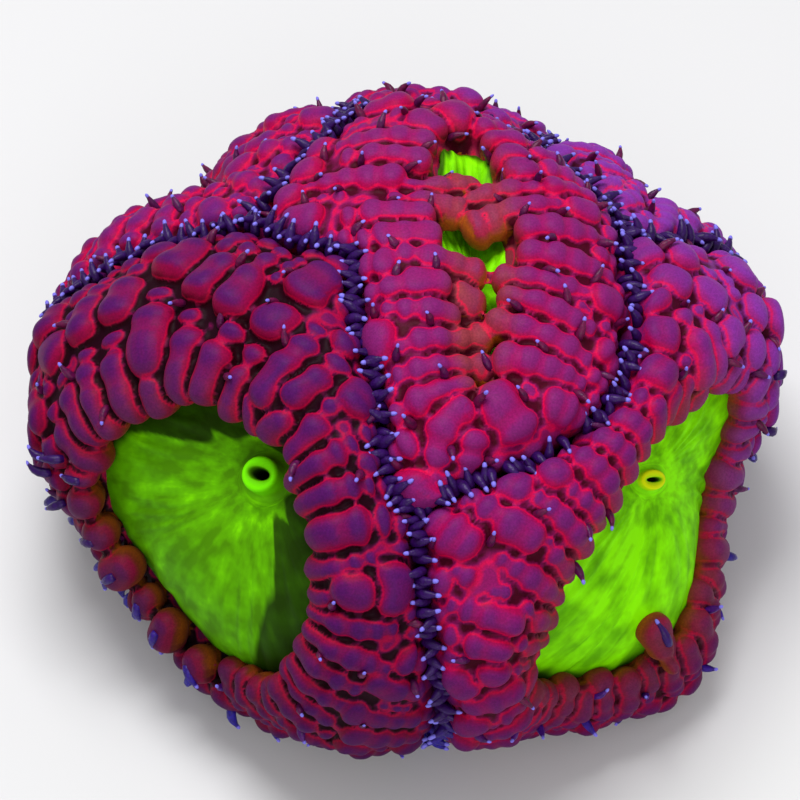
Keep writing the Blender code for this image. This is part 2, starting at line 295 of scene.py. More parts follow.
def cellBorder(polyp):
    sides = []
    for seam in polyps[polyp]["border"]:
        if seam == foot:
            sides.append(None)
        elif seam.startswith("-"):
            sides.append(seamCurve(seam[1:])[::-1])
        else:
            sides.append(seamCurve(seam))
    for i, side in enumerate(sides):
        if side is None:
            sides[i] = footCurve(sides[i - 1][-1], sides[(i + 1) % len(sides)][0])
    return np.concatenate([side[:-1] for side in sides])


def chartAxes(azimuth, elevation):
    # a flat chart of the ways round this one: right, up and outward
    outward = heading(azimuth, elevation)
    lead = np.array([0.0, 1.0, 0.0]) if abs(outward[2]) > 0.9 else np.array([0.0, 0.0, 1.0])
    right = unit(np.cross(lead, outward))
    return right, np.cross(outward, right), outward


def toChart(ways, axes):
    right, up, outward = axes
    angle = np.arccos(np.clip(ways @ outward, -1, 1))
    flat = np.stack([ways @ right, ways @ up], -1)
    return unit(flat) * angle[..., None]


def fromChart(flat, axes):
    right, up, outward = axes
    angle = np.linalg.norm(flat, axis=-1, keepdims=True) + 1e-12
    sideways = flat[..., :1] / angle * right + flat[..., 1:] / angle * up
    return np.cos(angle) * outward + np.sin(angle) * sideways


def cupRim(cup, turns):
    halfWidth, halfHeight, turn = np.radians(cup[2:])
    rim = np.stack([halfWidth * np.cos(turns), halfHeight * np.sin(turns)], -1)
    normals = unit(np.stack([np.cos(turns) / halfWidth, np.sin(turns) / halfHeight], -1))
    return rim @ spinBy(turn), normals @ spinBy(turn)


def reachBorder(start, way, border):
    edges = np.roll(border, -1, axis=0) - border
    offsets = border - start
    cross = way[0] * edges[:, 1] - way[1] * edges[:, 0]
    cross = np.where(np.abs(cross) < 1e-12, 1e-12, cross)
    distance = (offsets[:, 0] * edges[:, 1] - offsets[:, 1] * edges[:, 0]) / cross
    along = (offsets[:, 0] * way[1] - offsets[:, 1] * way[0]) / cross
    hits = distance[(along > -1e-6) & (along < 1 + 1e-6) & (distance > 0)]
    return start + way * (hits.min() - dome["seamHalfGap"] / dome["radii"][0])


def lipStations(polyp, count, crest=0.5, fine=360):
    # even stations round the cup, on its rim and out at the seam
    cup = polyps[polyp]["cup"]
    axes = chartAxes(*cup[:2])
    border = toChart(cellBorder(polyp), axes)

    def ringsAt(turns):
        rim, normals = cupRim(cup, turns)
        return rim, np.array([reachBorder(p, n, border) for p, n in zip(rim, normals)])

    turns = np.linspace(0, 2 * math.pi, fine, endpoint=False)
    rim, outer = ringsAt(turns)
    middle = rim + crest * (outer - rim)
    steps = np.linalg.norm(np.roll(middle, -1, axis=0) - middle, axis=1)
    travelled = np.concatenate([[0], np.cumsum(steps)])
    even = np.linspace(0, travelled[-1], count, endpoint=False)
    return axes, *ringsAt(np.interp(even, travelled, np.append(turns, 2 * math.pi)))


def mouthPlace(polyp):
    halfWidth, halfHeight, turn = np.radians(polyps[polyp]["cup"][2:])
    x, y = polyps[polyp]["mouthAt"]
    return np.array([x * halfWidth, y * halfHeight]) @ spinBy(turn)


# the mantle sheet: a smooth surface that each polyp's lobes lie on, with sections as rows and heights in mm
outerSection = ((0.05, 1.2), (0.12, 2.3), (0.24, 2.9), (0.4, 3.3), (0.58, 3.4), (0.76, 3.2))
mantle = {
    "around": 240,                # stations round the cup
    "across": 53,                 # rows from the seam in over the disc
    "lastRow": 1.5,               # 0 is the seam, 1 the rim of the cup
    "rowsBeyondRim": 9.0,         # mm that one row unit covers past the rim
    "section": ((0, -1.0), *outerSection, (0.9, 2.6), (1.0, 1.7), (1.12, 0.4), (1.3, -1.8), (1.5, -3.0)),
    "crownSection": ((0, -1.0), *outerSection, (0.9, 2.7), (1.0, 2.2), (1.12, 1.7), (1.3, 1.2), (1.5, 0.8)),
    "bodySection": ((0, -1.9), (0.05, 0.6), (0.12, 1.9), (0.24, 2.7), (0.4, 3.2), (0.58, 3.3), (0.76, 3.0),
                    (0.9, 1.9), (1.0, -0.4)),
    "cornerSink": 0.5,            # how much lower the mantle lies where it is wide
    "cupFloor": (-3.9, -4.8),     # at the rim and at the mouth
    "floorRings": (1.0, 0.7, 0.4),
    "stalkTop": 0.3,
    "footDepth": 0.8,
}


class Sheet:
    def __init__(self, polyp):
        count, rows = mantle["around"], mantle["across"]
        self.axes, self.rim, self.outer = lipStations(polyp, count)
        spans = self.outer - self.rim
        widths = np.linalg.norm(spans, axis=1)
        angle, share = polyps[polyp]["lean"]
        headings = np.arctan2(spans[:, 1], spans[:, 0])
        self.sides = np.degrees(headings)
        spread = np.minimum((np.median(widths) / widths) ** mantle["cornerSink"], 1.0)
        self.lean = share * np.cos(headings - math.radians(angle))
        self.lifts = spread * (1 + self.lean)
        self.rows = np.linspace(0, mantle["lastRow"], rows)
        section = mantle["crownSection"] if polyp == "top" else mantle["section"]
        self.points = np.stack([self.ring(s, section) for s in self.rows], 1)
        alongRows = np.gradient(self.points, axis=1)
        looped = np.concatenate([self.points[-1:], self.points, self.points[:1]])
        alongRing = (looped[2:] - looped[:-2]) / 2
        normals = unit(np.cross(alongRows, alongRing))
        ways = fromChart(self.rim, self.axes)
        facing = (normals[:, rows // 2] * ways).sum(-1).mean()
        self.normals = normals if facing > 0 else -normals
        steps = np.linalg.norm(np.diff(self.points, axis=1), axis=-1)
        self.travel = np.concatenate([np.zeros((count, 1)), np.cumsum(steps, axis=1)], 1)

    def ring(self, s, section):
        if s <= 1:
            flat = self.outer + s * (self.rim - self.outer)
        else:
            inward = unit(self.rim - self.outer)
            flat = self.rim + (s - 1) * inward * mantle["rowsBeyondRim"] / dome["radii"][0]
        height = np.interp(s, *zip(*section))
        heights = height * (self.lifts if height > 0 else np.ones_like(self.lifts))
        points = domePoint(fromChart(flat, self.axes), heights)
        points[:, 2] = np.maximum(points[:, 2], dome["lowestFlesh"])
        return points

    def at(self, f, s, grid=None):
        # the sheet's point or normal at a share f round the cup and at row s
        grid = self.points if grid is None else grid
        count, rows = grid.shape[:2]
        u = (np.asarray(f) % 1.0) * count
        v = np.clip(np.asarray(s) / mantle["lastRow"], 0, 1) * (rows - 1)
        i, j = np.floor(u).astype(int), np.minimum(np.floor(v).astype(int), rows - 2)
        a, b = (u - i)[..., None], (v - j)[..., None]
        i, k = i % count, (i + 1) % count
        return (grid[i, j] * (1 - a) * (1 - b) + grid[k, j] * a * (1 - b)
                + grid[i, j + 1] * (1 - a) * b + grid[k, j + 1] * a * b)

    def normalAt(self, f, s):
        return unit(self.at(f, s, self.normals))

    def travelsAt(self, f):
        return self.travel[int((f % 1.0) * len(self.travel)) % len(self.travel)]

    def rowAt(self, f, travelled):
        # the row that lies this many mm in from the seam
        return float(np.interp(travelled, self.travelsAt(f), self.rows))

    def travelAt(self, f, s):
        return float(np.interp(s, self.rows, self.travelsAt(f)))

    def spacing(self, f, s, reach=0.01):
        # mm round the row for one whole turn of f, as it is at f
        ends = self.at(np.array([f - reach, f + reach]), np.array([s, s]))
        return float(np.linalg.norm(ends[1] - ends[0])) / (2 * reach)

    def perimeter(self, s, steps=200):
        ring = self.at(np.linspace(0, 1, steps, endpoint=False), np.full(steps, s))
        return np.linalg.norm(np.roll(ring, -1, axis=0) - ring, axis=1).sum()


sheets = {polyp: Sheet(polyp) for polyp in polyps}
print("mantle sheets laid out")

# lobes: beaded sausages, modelled straight and laid on the sheets
lobeStyle = {
    "segments": 18, "rings": 30,
    "soften": (3.6, 5.5),         # how sharp the necks between beads are, seen from above and from the side
    "kinds": {                    # beads from the seam end to the disc end: place and radius in mm
        "longA": ((0.0, 0.75), (1.3, 0.95), (2.7, 1.1), (4.4, 1.3), (6.3, 1.4)),
        "longB": ((0.0, 0.8), (1.5, 1.05), (3.1, 1.15), (4.9, 1.3), (6.9, 1.5)),
        "longC": ((0.0, 0.85), (1.6, 1.1), (3.6, 1.45), (5.3, 1.4)),
        "longD": ((0.0, 0.9), (1.9, 1.2), (3.6, 1.25), (5.4, 1.45)),
        "bulbA": ((0.0, 0.7), (1.4, 0.95), (3.2, 1.35), (5.0, 1.65)),
        "bulbB": ((0.0, 0.85), (2.0, 1.3), (3.9, 1.6), (5.0, 1.4)),
        "midA": ((0.0, 1.0), (1.9, 1.3), (3.3, 1.35)),
        "midB": ((0.0, 0.85), (1.4, 1.1), (3.3, 1.35)),
        "bulbC": ((0.0, 1.0), (2.1, 1.35), (3.9, 1.65)),
        "roundA": ((0.0, 1.3), (1.0, 1.45)),
        "roundB": ((0.0, 1.4), (1.3, 1.6)),
        "pairA": ((0.0, 1.6), (1.5, 1.4)),
        "slimA": ((0.0, 0.65), (1.2, 0.85), (2.7, 0.9)),
        "slimB": ((0.0, 0.7), (1.0, 0.85)),
    },
    "groups": {                   # what is drawn from where there is room for it
        "long": ["longA", "longB", "longC", "longD"],
        "bulb": ["bulbA", "bulbB", "bulbC", "bulbC", "roundB"],
        "round": ["roundA", "roundB", "roundB", "midA"],
        "mid": ["midA", "midB", "roundA"],
        "slim": ["slimA", "slimB"],
    },
    "room": {"long": 6.0, "round": 3.0, "mid": 3.6},   # mm of sheet that a group needs
    "bulbsFrom": 1.2,             # size from which long lobes are bulbs instead
    "baseWidth": 2.75,            # mm across a lobe of size 1
    "packing": 0.9,               # share of its width that a lobe takes up in a row
    "packedRow": 0.85,            # the row of the sheet where widths are measured
    "stepChange": (0.93, 1.07),
    "widthChange": (0.95, 1.12),
    "drift": (0.8, 0.6),          # mm of slant and of bow
    "lift": (-0.2, 0.3),          # mm up or down from the sheet
    "sink": 0.42,                 # share of a lobe's radius that lies under the sheet
    "upright": 1.1,               # height over width
    "rowGap": (1.3, 1.7),         # mm between the end of one lobe and the start of the next
    "clash": 0.6,                 # share of two radii that lobes in the outer rows keep apart
    "lastRow": 0.12,
    "rowStep": 0.06,              # how many rows further out a lobe is tried where it finds no room
    "seamClearance": 0.3,         # mm
    "rowShift": 0.15,             # share of a column's width that its next lobe may slip aside
    "spread": (0.6, 1.4),         # least and most that a lobe is squeezed or widened to meet its neighbours
    "meet": 1.04,                 # how far a lobe is widened: 1 is midway to its neighbour
    "standsFrom": 0.34,           # mm of lift from which a lobe stands free and isn't widened
    "standSpan": (-0.3, 0.7),     # where such a lobe starts and ends from its row, as shares of its length
    "closingGap": 0.4,            # share of a lobe's width that may stay open where a round of columns closes
    # small lobes that fill the gaps, with the kind, the tries and the share of two radii that they keep apart
    "fill": {"row": (0.08, 0.96), "drift": (1.0, 0.6), "width": (0.85, 1.15), "lift": (-0.3, 0.05),
             "kinds": (("longC", 260, 0.86), ("midB", 400, 0.86), ("slimA", 700, 0.88), ("slimB", 700, 0.9))},
    # round lobes that stand apart on a rim, and the row that the others stop at beside them
    "bead": {"kind": "roundA", "row": 1.01, "lift": 0.35, "radius": 1.45, "apart": 0.8, "othersEnd": 0.84},
}


def beadRadius(beads, x, soften):
    total = sum(np.sqrt(np.maximum(size**2 - (x - place) ** 2, 0)) ** soften for place, size in beads)
    return total ** (1 / soften)


def straightLobe(kind):
    beads = lobeStyle["kinds"][kind]
    segments, rings = lobeStyle["segments"], lobeStyle["rings"]
    bpy.ops.mesh.primitive_uv_sphere_add(segments=segments, ring_count=rings, radius=1)
    lobe = bpy.context.object
    lobe.name = "lobe_" + kind
    points = pointsOf(lobe)
    first, last = beads[0][0] - beads[0][1], beads[-1][0] + beads[-1][1]
    x = (first + last) / 2 + points[:, 2] * (last - first) / 2
    around = unit(points[:, :2])
    around[np.abs(points[:, 2]) > 0.9999] = 0    # the two poles
    wide, tall = (beadRadius(beads, x, soften) for soften in lobeStyle["soften"])
    putPoints(lobe, np.column_stack([x, around[:, 0] * wide, around[:, 1] * tall]))
    faceOutwards()
    places, radii = zip(*beads)
    return {"object": lobe, "points": pointsOf(lobe), "length": places[-1], "places": places, "radii": radii}


lobeKinds = {kind: straightLobe(kind) for kind in lobeStyle["kinds"]}
print("lobe patterns made")


def centreLine(sheet, f, start, end, drift, steps=9):
    # points, ways and normals along a lobe that runs from row start to row end and drifts sideways, in mm
    s = np.linspace(start, end, steps)
    t = np.linspace(-0.5, 0.5, steps)
    around = sheet.perimeter((start + end) / 2)
    fs = f + (drift[0] * t + drift[1] * (0.25 - t**2)) / around
    points, normals = sheet.at(fs, s), sheet.normalAt(fs, s)
    ways = unit(np.gradient(points, axis=0))
    normals = unit(normals - (normals * ways).sum(-1, keepdims=True) * ways)
    return points, ways, normals


def laidPoints(kind, line, width, lift, spreads):
    # a straight lobe's points, bent along the line
    points, ways, normals = line
    shape = kind["points"]
    t = np.clip(shape[:, 0] / kind["length"], 0, 1) * (len(points) - 1)
    extra = shape[:, 0] - np.clip(shape[:, 0], 0, kind["length"])
    i = np.minimum(t.astype(int), len(points) - 2)
    a = (t - i)[:, None]
    centre = points[i] * (1 - a) + points[i + 1] * a
    way = unit(ways[i] * (1 - a) + ways[i + 1] * a)
    normal = unit(normals[i] * (1 - a) + normals[i + 1] * a)
    side = np.cross(normal, way)
    left, right = (values[i] * (1 - a[:, 0]) + values[i + 1] * a[:, 0] for values in spreads)
    across = shape[:, 1] * width * np.where(shape[:, 1] > 0, left, right)
    return (centre + way * extra[:, None] + side * across[:, None]
            + normal * (shape[:, 2:3] * width * lobeStyle["upright"] + lift))


def neighbourSpreads(plans, nearest=0.1, farAway=99.0):
    # how much each lobe is squeezed or widened on either side, so that it just meets the lobes beside it
    lines, radii = [], []
    for name, (points, _, _), width, _ in plans:
        kind = lobeKinds[name]
        lines.append(points)
        along = np.linspace(0, kind["length"], len(points))
        radii.append(width * np.interp(along, kind["places"], kind["radii"]))
    everyPoint, everyRadius = np.concatenate(lines), np.concatenate(radii)
    owner = np.repeat(np.arange(len(plans)), [len(line) for line in lines])
    least, most = lobeStyle["spread"]
    found = []
    for i, ((_, (line, ways, normals), _, lift), radius) in enumerate(zip(plans, radii)):
        side = np.cross(normals, ways)
        others = owner != i
        gaps = everyPoint[others][None] - line[:, None]
        square = (gaps**2).sum(-1) + radius[:, None] ** 2 - everyRadius[others][None] ** 2
        limit = most if lift < lobeStyle["standsFrom"] else 1.0
        both = []
        for way in (side, -side):
            along = (gaps * way[:, None]).sum(-1)
            room = np.where(along > nearest, square / (2 * np.maximum(along, nearest)), farAway)
            room = room.min(axis=1)
            spread = np.clip(room * lobeStyle["meet"] / radius, least, limit)
            padded = np.concatenate([spread[:1], spread, spread[-1:]])
            both.append((padded[:-2] + padded[1:-1] + padded[2:]) / 3)
        found.append(both)
    return found


def sideOffset(polyp, f, angle):
    # degrees between the side of the cup at f and this one
    sides = sheets[polyp].sides
    return (sides[int(f % 1.0 * len(sides))] - angle + 180) % 360 - 180


def nearSide(polyp, f, sides):
    return any(abs(sideOffset(polyp, f, angle)) < reach for angle, reach in sides)


def amongBeads(polyp, f, first, last):
    return abs(sideOffset(polyp, f, (first + last) / 2)) < (last - first) / 2


def swollen(polyp, f, sides, value=0.0):
    # value and what each side of the cup adds to it at f
    for angle, reach, share in sides:
        value += share * math.exp(-((sideOffset(polyp, f, angle) / reach) ** 2))
    return value


def windowRow(polyp, f):
    # the row that lobes stop at where the disc shows between them, or none
    y = float(sheets[polyp].at(f, 1.0)[1])
    windows = polyps[polyp].get("windows", ())
    return next((row for middle, reach, row in windows if abs(y - middle) < reach), None)


def endRow(polyp, f):
    # how far in over the cup the lobe at f reaches
    settings, stop = polyps[polyp], windowRow(polyp, f)
    if stop is not None:
        return stop
    if any(amongBeads(polyp, f, first, last) for first, last, _, _ in settings.get("beads", ())):
        return lobeStyle["bead"]["othersEnd"]
    back = swollen(polyp, f, settings.get("pulledBack", ()))
    return 1.0 - back + settings["overhang"] * chance.uniform(settings.get("leastOverhang", 0.2), 1.0)


# where lobes stand out from a rim: place, normal, the way their tentacle points, height
standing = {polyp: [] for polyp in polyps}


class LobePlan:
    def __init__(self, polyp):
        self.polyp, self.settings, self.sheet = polyp, polyps[polyp], sheets[polyp]
        self.lobes, self.taken, self.sizes = [], [], []

    def lay(self, name, f, end, width, drift, slack, lift):
        # a lobe along the sheet that ends at this row: gives the row it starts from, or none without room
        kind = lobeKinds[name]
        startTravel = self.sheet.travelAt(f, end) - kind["length"] * width
        start = self.sheet.rowAt(f, startTravel)
        if startTravel < lobeStyle["seamClearance"]:
            return None
        line = centreLine(self.sheet, f, start, end, drift)
        steps = len(line[0])
        beads = np.interp(kind["places"], np.linspace(0, kind["length"], steps), np.arange(steps))
        spots = np.array([line[0][int(round(b))] for b in beads])
        radii = np.array(kind["radii"]) * width
        if slack and self.taken:
            gap = np.linalg.norm(np.concatenate(self.taken)[None] - spots[:, None], axis=-1)
            if (gap < slack * (np.concatenate(self.sizes)[None] + radii[:, None])).any():
                return None
        self.taken.append(spots)
        self.sizes.append(radii)
        self.lobes.append((name, line, width, lift - float(np.mean(radii)) * lobeStyle["sink"]))
        return start

    def stand(self, name, f, row, width, lift, arm, twist=0.0, near=0.05):
        # a lobe that stands straight out from the rim instead of following the sheet
        kind, sheet = lobeKinds[name], self.sheet
        base, normal = sheet.at(f, row), sheet.normalAt(f, row)
        inward = unit(sheet.at(f, row + near) - sheet.at(f, row - near))
        inward = math.cos(twist) * inward + math.sin(twist) * np.cross(normal, inward)
        t = np.linspace(*lobeStyle["standSpan"], 9)[:, None]
        points = base + inward * t * kind["length"] * width
        line = (points, np.broadcast_to(inward, points.shape), np.broadcast_to(normal, points.shape))
        self.lobes.append((name, line, width, lift))
        armFoot = points[-2] if arm > 0 else base
        standing[self.polyp].append((armFoot, normal, inward * arm, width * max(kind["radii"]) + lift))

    def standSingles(self):
        stations = [k / mantle["around"] for k in range(mantle["around"])]
        for angle, row, name, width, lift, arm in self.settings.get("reaching", ()):
            offsets = [abs(sideOffset(self.polyp, f, angle)) for f in stations]
            self.stand(name, stations[int(np.argmin(offsets))], row, width, lift, arm)

    def standBeads(self):
        style = lobeStyle["bead"]
        for first, last, gap, (least, most) in self.settings.get("beads", ()):
            f = 0.0
            while f < 1:
                radius = chance.uniform(least, most)
                if amongBeads(self.polyp, f, first, last) and self.isFree(self.sheet.at(f, 1.0), radius):
                    twist = chance.uniform(-1.0, 1.0)
                    width = radius / style["radius"]
                    self.stand(style["kind"], f, style["row"], width, style["lift"], -1, twist)
                f += (radius + gap / 2) / self.sheet.spacing(f, 1.0)

    def isFree(self, base, radius):
        # whether no lobe stands too near on the rim
        apart = lobeStyle["bead"]["apart"]
        return all(np.linalg.norm(base - spot) > apart * size + radius
                   for spot, _, _, size in standing[self.polyp])

    def drawKind(self, room, size, isRound):
        needs = lobeStyle["room"]
        if isRound and room > needs["round"]:
            group = "round"
        elif room > needs["long"] and chance.random() < self.settings["longShare"]:
            group = "long" if size < lobeStyle["bulbsFrom"] else "bulb"
        else:
            group = "mid" if room > needs["mid"] else "slim"
        return str(chance.choice(lobeStyle["groups"][group]))

    def layColumn(self, place, end, size, step, isRound):
        # lobes one behind another, from the cup out to the seam
        style, sheet = lobeStyle, self.sheet
        while end > style["lastRow"]:
            name = self.drawKind(sheet.travelAt(place, end), size, isRound)
            width = size * chance.uniform(*style["widthChange"])
            drift = tuple(chance.normal(0, reach) for reach in style["drift"])
            slack = style["clash"] if end < style["packedRow"] or self.polyp == "top" else 0.0
            start = self.lay(name, place, end, width, drift, slack, chance.uniform(*style["lift"]))
            if start is None:
                end -= style["rowStep"]
            else:
                end = sheet.rowAt(place, sheet.travelAt(place, start) - chance.uniform(*style["rowGap"]))
                place += chance.normal(0, style["rowShift"]) * step

    def layColumns(self):
        style, row, polyp = lobeStyle, lobeStyle["packedRow"], self.polyp
        lobeWidth = self.settings["lobeWidth"]
        f = 0.0
        while f < 1 - style["closingGap"] * lobeWidth / self.sheet.spacing(f, row):
            size = swollen(polyp, f, self.settings["sides"], 1.0) * lobeWidth / style["baseWidth"]
            step = style["baseWidth"] * style["packing"] * size * chance.uniform(*style["stepChange"])
            step /= self.sheet.spacing(f, row)
            isRound = nearSide(polyp, f, self.settings.get("roundSides", ()))
            self.layColumn(f + step / 2, endRow(polyp, f + step / 2), size, step, isRound)
            f += step

    def fillGaps(self):
        style = lobeStyle["fill"]
        for name, tries, slack in style["kinds"]:
            for _ in range(tries):
                f, end = chance.random(), chance.uniform(*style["row"])
                drift = tuple(chance.normal(0, reach) for reach in style["drift"])
                if end < (windowRow(self.polyp, f) or 1.0):
                    width = chance.uniform(*style["width"])
                    self.lay(name, f, end, width, drift, slack, chance.uniform(*style["lift"]))


def planLobes(polyp):
    # each lobe as its kind, centre line, width and lift
    plan = LobePlan(polyp)
    plan.standSingles()
    plan.standBeads()
    plan.layColumns()
    plan.fillGaps()
    return plan.lobes


def wrappedSphere(name, rings, firstPole, lastPole):
    # a sphere whose rings and poles are put on these points
    count, rows = len(rings[0]), len(rings) + 1
    bpy.ops.mesh.primitive_uv_sphere_add(segments=count, ring_count=rows, radius=1)
    body = bpy.context.object
    body.name = name
    points = pointsOf(body)
    row = np.rint(np.arccos(np.clip(-points[:, 2], -1, 1)) / math.pi * rows).astype(int)
    column = np.rint(np.arctan2(points[:, 1], points[:, 0]) / (2 * math.pi) * count).astype(int) % count
    poles = [np.broadcast_to(pole, (1, count, 3)) for pole in (firstPole, lastPole)]
    table = np.concatenate([poles[0], rings, poles[1]])
    putPoints(body, table[row, column] * mm)
    faceOutwards()
    return body


def polypBody(polyp):
    # mantle wall, cup and stalk down to the cut, under the lobes
    sheet = sheets[polyp]
    every = slice(None, None, 2)
    rings = [sheet.ring(s, mantle["bodySection"])[every] for s, _ in mantle["bodySection"]]
    mouth = mouthPlace(polyp)
    rimFloor, mouthFloor = mantle["cupFloor"]
    for share in mantle["floorRings"]:
        flat = mouth + share * (sheet.rim[every] - mouth)
        height = mouthFloor + share * (rimFloor - mouthFloor)
        rings.append(domePoint(fromChart(flat, sheet.axes), np.full(len(flat), height)))
    drawn = rings[0] * dome["stalkApex"] / (dome["stalkApex"] + rings[0][:, 2:])
    upper, lower = drawn.copy(), drawn.copy()
    upper[:, 2], lower[:, 2] = mantle["stalkTop"], -mantle["footDepth"]
    floorMiddle = domePoint(fromChart(mouth, sheet.axes), mouthFloor)
    return wrappedSphere(polyp + "Body", np.array([lower, upper, *rings]), lower.mean(axis=0), floorMiddle)


# the one skin that each polyp's lobes and body are melted into
skinStyle = {
    "voxel": {"left": 0.34, "right": 0.34, "top": 0.33, "rearLeft": 0.42, "rearRight": 0.4, "rear": 0.42},
    "smoothing": (0.5, 2),        # strength, rounds
    # mm over which the surface is evened out to find its creases, their edges and its hollows
    "creaseReach": 0.85,
    "edgeReach": 0.5,
    "hollowReach": 2.5,
    "deepCrease": 0.12,           # mm at which a crease counts as full
}


def evened(points, edges, reach):
    # points moved towards their neighbours' middle over this many edge lengths
    ends = np.concatenate([edges[:, 0], edges[:, 1]])
    others = np.concatenate([edges[:, 1], edges[:, 0]])
    count = len(points)
    number = np.bincount(ends, minlength=count)
    moved = points.copy()
    for _ in range(round(reach**2)):
        columns = [np.bincount(ends, weights=column[others], minlength=count) for column in moved.T]
        moved = np.stack(columns, 1)
        moved /= np.maximum(number, 1)[:, None]
    return moved


def nearestRows(points, sheet):
    # the sheet's row and normal nearest to each point
    grid = sheet.points[::2, ::2]
    normals = sheet.normals[::2, ::2].reshape(-1, 3)
    rows = np.broadcast_to(sheet.rows[::2], grid.shape[:2]).reshape(-1)
    tree = kdtree.KDTree(len(normals))
    for i, point in enumerate(grid.reshape(-1, 3)):
        tree.insert(point, i)
    tree.balance()
    nearest = np.array([tree.find(point)[1] for point in points])
    return rows[nearest], normals[nearest]


def meltTogether(parts, voxel):
    # one skin from overlapping shapes, smoothed and cut off flat at the foot
    pickOnly(*parts)
    bpy.ops.object.join()
    skin = bpy.context.object
    skin.data.remesh_voxel_size = voxel * mm
    bpy.ops.object.voxel_remesh()
    smooth = skin.modifiers.new("even", "SMOOTH")
    smooth.factor, smooth.iterations = skinStyle["smoothing"]
    bpy.ops.object.modifier_apply(modifier=smooth.name)
    bpy.ops.object.mode_set(mode="EDIT")
    bpy.ops.mesh.select_all(action="SELECT")
    bpy.ops.mesh.bisect(plane_co=(0, 0, 0), plane_no=(0, 0, 1), clear_inner=True, use_fill=True)
    bpy.ops.object.mode_set(mode="OBJECT")
    bpy.ops.object.shade_smooth()
    return skin


def markSkin(skin, points, sheet, voxel):
    # what the skin's colours go by
    edges = valuesOf(skin.data.edges, "vertices", 2, int)
    normals = valuesOf(skin.data.vertices, "normal")
    rows, sheetNormals = nearestRows(points, sheet)
    near = evened(points, edges, skinStyle["creaseReach"] / voxel)
    wide = evened(near, edges, skinStyle["hollowReach"] / voxel)
    crease = ((near - points) * normals).sum(-1)
    deep = np.clip(crease / skinStyle["deepCrease"], 0, 1)
    addMark(skin, "facing", (normals * sheetNormals).sum(-1))
    addMark(skin, "crease", crease)
    addMark(skin, "edge", evened(deep[:, None], edges, skinStyle["edgeReach"] / voxel)[:, 0])
    addMark(skin, "hollow", ((wide - points) * sheetNormals).sum(-1))
    addMark(skin, "row", rows)


def polypSkin(polyp):
    body = polypBody(polyp)
    laid = []
    plans = planLobes(polyp)
    for (name, line, width, lift), spreads in zip(plans, neighbourSpreads(plans)):
        kind = lobeKinds[name]
        lobe = ownCopy(kind["object"])
        putPoints(lobe, laidPoints(kind, line, width, lift, spreads) * mm)
        laid.append(lobe)
    voxel = skinStyle["voxel"][polyp]
    skin = meltTogether([*laid, body], voxel)
    points = keepInside(pointsOf(skin) / mm)
    putPoints(skin, points * mm)
    markSkin(skin, points, sheets[polyp], voxel)
    triangles = sum(len(p.vertices) - 2 for p in skin.data.polygons)
    print(polyp, "skin:", len(laid), "lobes,", triangles, "triangles")
    return skin


skins = {polyp: polypSkin(polyp) for polyp in polyps}
print("skins made")

# oral discs: folded sheets in the cups, each with a mouth
discStyle = {
    "stations": {"left": 208, "right": 208, "top": 176, "rearLeft": 112, "rearRight": 112, "rear": 112},
    "rings": {"left": 30, "right": 30, "top": 26, "rearLeft": 16, "rearRight": 16, "rear": 16},
    "edgeHeight": (-2.4, -0.5),   # mm, under the tall side of the mantle and under its low side
    "mouthHeight": -3.3,
    "slope": 1.3,                 # above 1 the disc is flatter round the mouth
    "edgeReach": 0.9,             # mm that the edge runs in under the lobes
    "swell": (0.35, 3, 1.2),      # rise, number and start of the broad waves round the mouth
    "folds": 26, "foldRise": 0.1,     # fine folds from the mouth out, and their height in mm
    "waves": ((1.7, 2, 0, 0.6), (0.9, 5, 0, 0), (1.1, 3, 4, 0)),   # how folds wander: size, round, out, start
    "thickness": 0.7,
    # the mouth, from its foot in: share of its radius, share of its rise
    "mouthRings": ((1.45, 0.0), (1.16, 0.12), (1.03, 0.45), (1.0, 0.78), (0.93, 0.95), (0.82, 1.0),
                   (0.68, 0.98), (0.56, 0.86), (0.48, 0.6), (0.43, 0.1), (0.38, -0.5)),
    "slitFrom": 0.75,             # share of the mouth's radius inside which it narrows to a slit
    "mouthShade": (0.62, 0.16),         # where the painted shade inside the mouth starts, and how softly
    "lip": (0.85, 0.22),          # where the pale lip lies, and how wide
    "shadeEdge": (-0.05, 0.07),   # how softly the painted shadow starts
    "fanSpread": 0.4,             # below 1 the streaks are finer near the mouth
}


def ringedCircle(name, stations, rings):
    # a flat disc of even rings, extruded inwards one by one
    bpy.ops.mesh.primitive_circle_add(vertices=stations, radius=1)
    disc = bpy.context.object
    disc.name = name
    bpy.ops.object.mode_set(mode="EDIT")
    bpy.ops.mesh.select_all(action="SELECT")
    for k in range(rings):
        bpy.ops.mesh.extrude_edges_move()
        shrink = (rings - k) / (rings + 1 - k)
        bpy.ops.transform.resize(value=(shrink, shrink, 1))
    bpy.ops.mesh.merge(type="CENTER")
    bpy.ops.object.mode_set(mode="OBJECT")
    return disc


def discEdge(polyp, station, mouth):
    # how far the disc's edge lies from the mouth, which way, and how high, at each station
    settings, sheet, style = polyps[polyp], sheets[polyp], discStyle
    edge = sheet.rim + unit(sheet.outer - sheet.rim) * style["edgeReach"] / dome["radii"][0]
    around = mantle["around"]
    sheetStation = np.rint(station * around / style["stations"][polyp]).astype(int) % around
    spokes = (edge - mouth)[sheetStation]
    tall, low = style["edgeHeight"]
    if polyp in ("left", "right"):
        lean = sheet.lean[sheetStation] / (np.abs(sheet.lean).max() + 1e-9)
        height = low + (tall - low) * (lean + 1) / 2
    else:
        height = np.full(len(spokes), settings.get("discHeight", tall))
    return np.linalg.norm(spokes, axis=1), unit(spokes), height


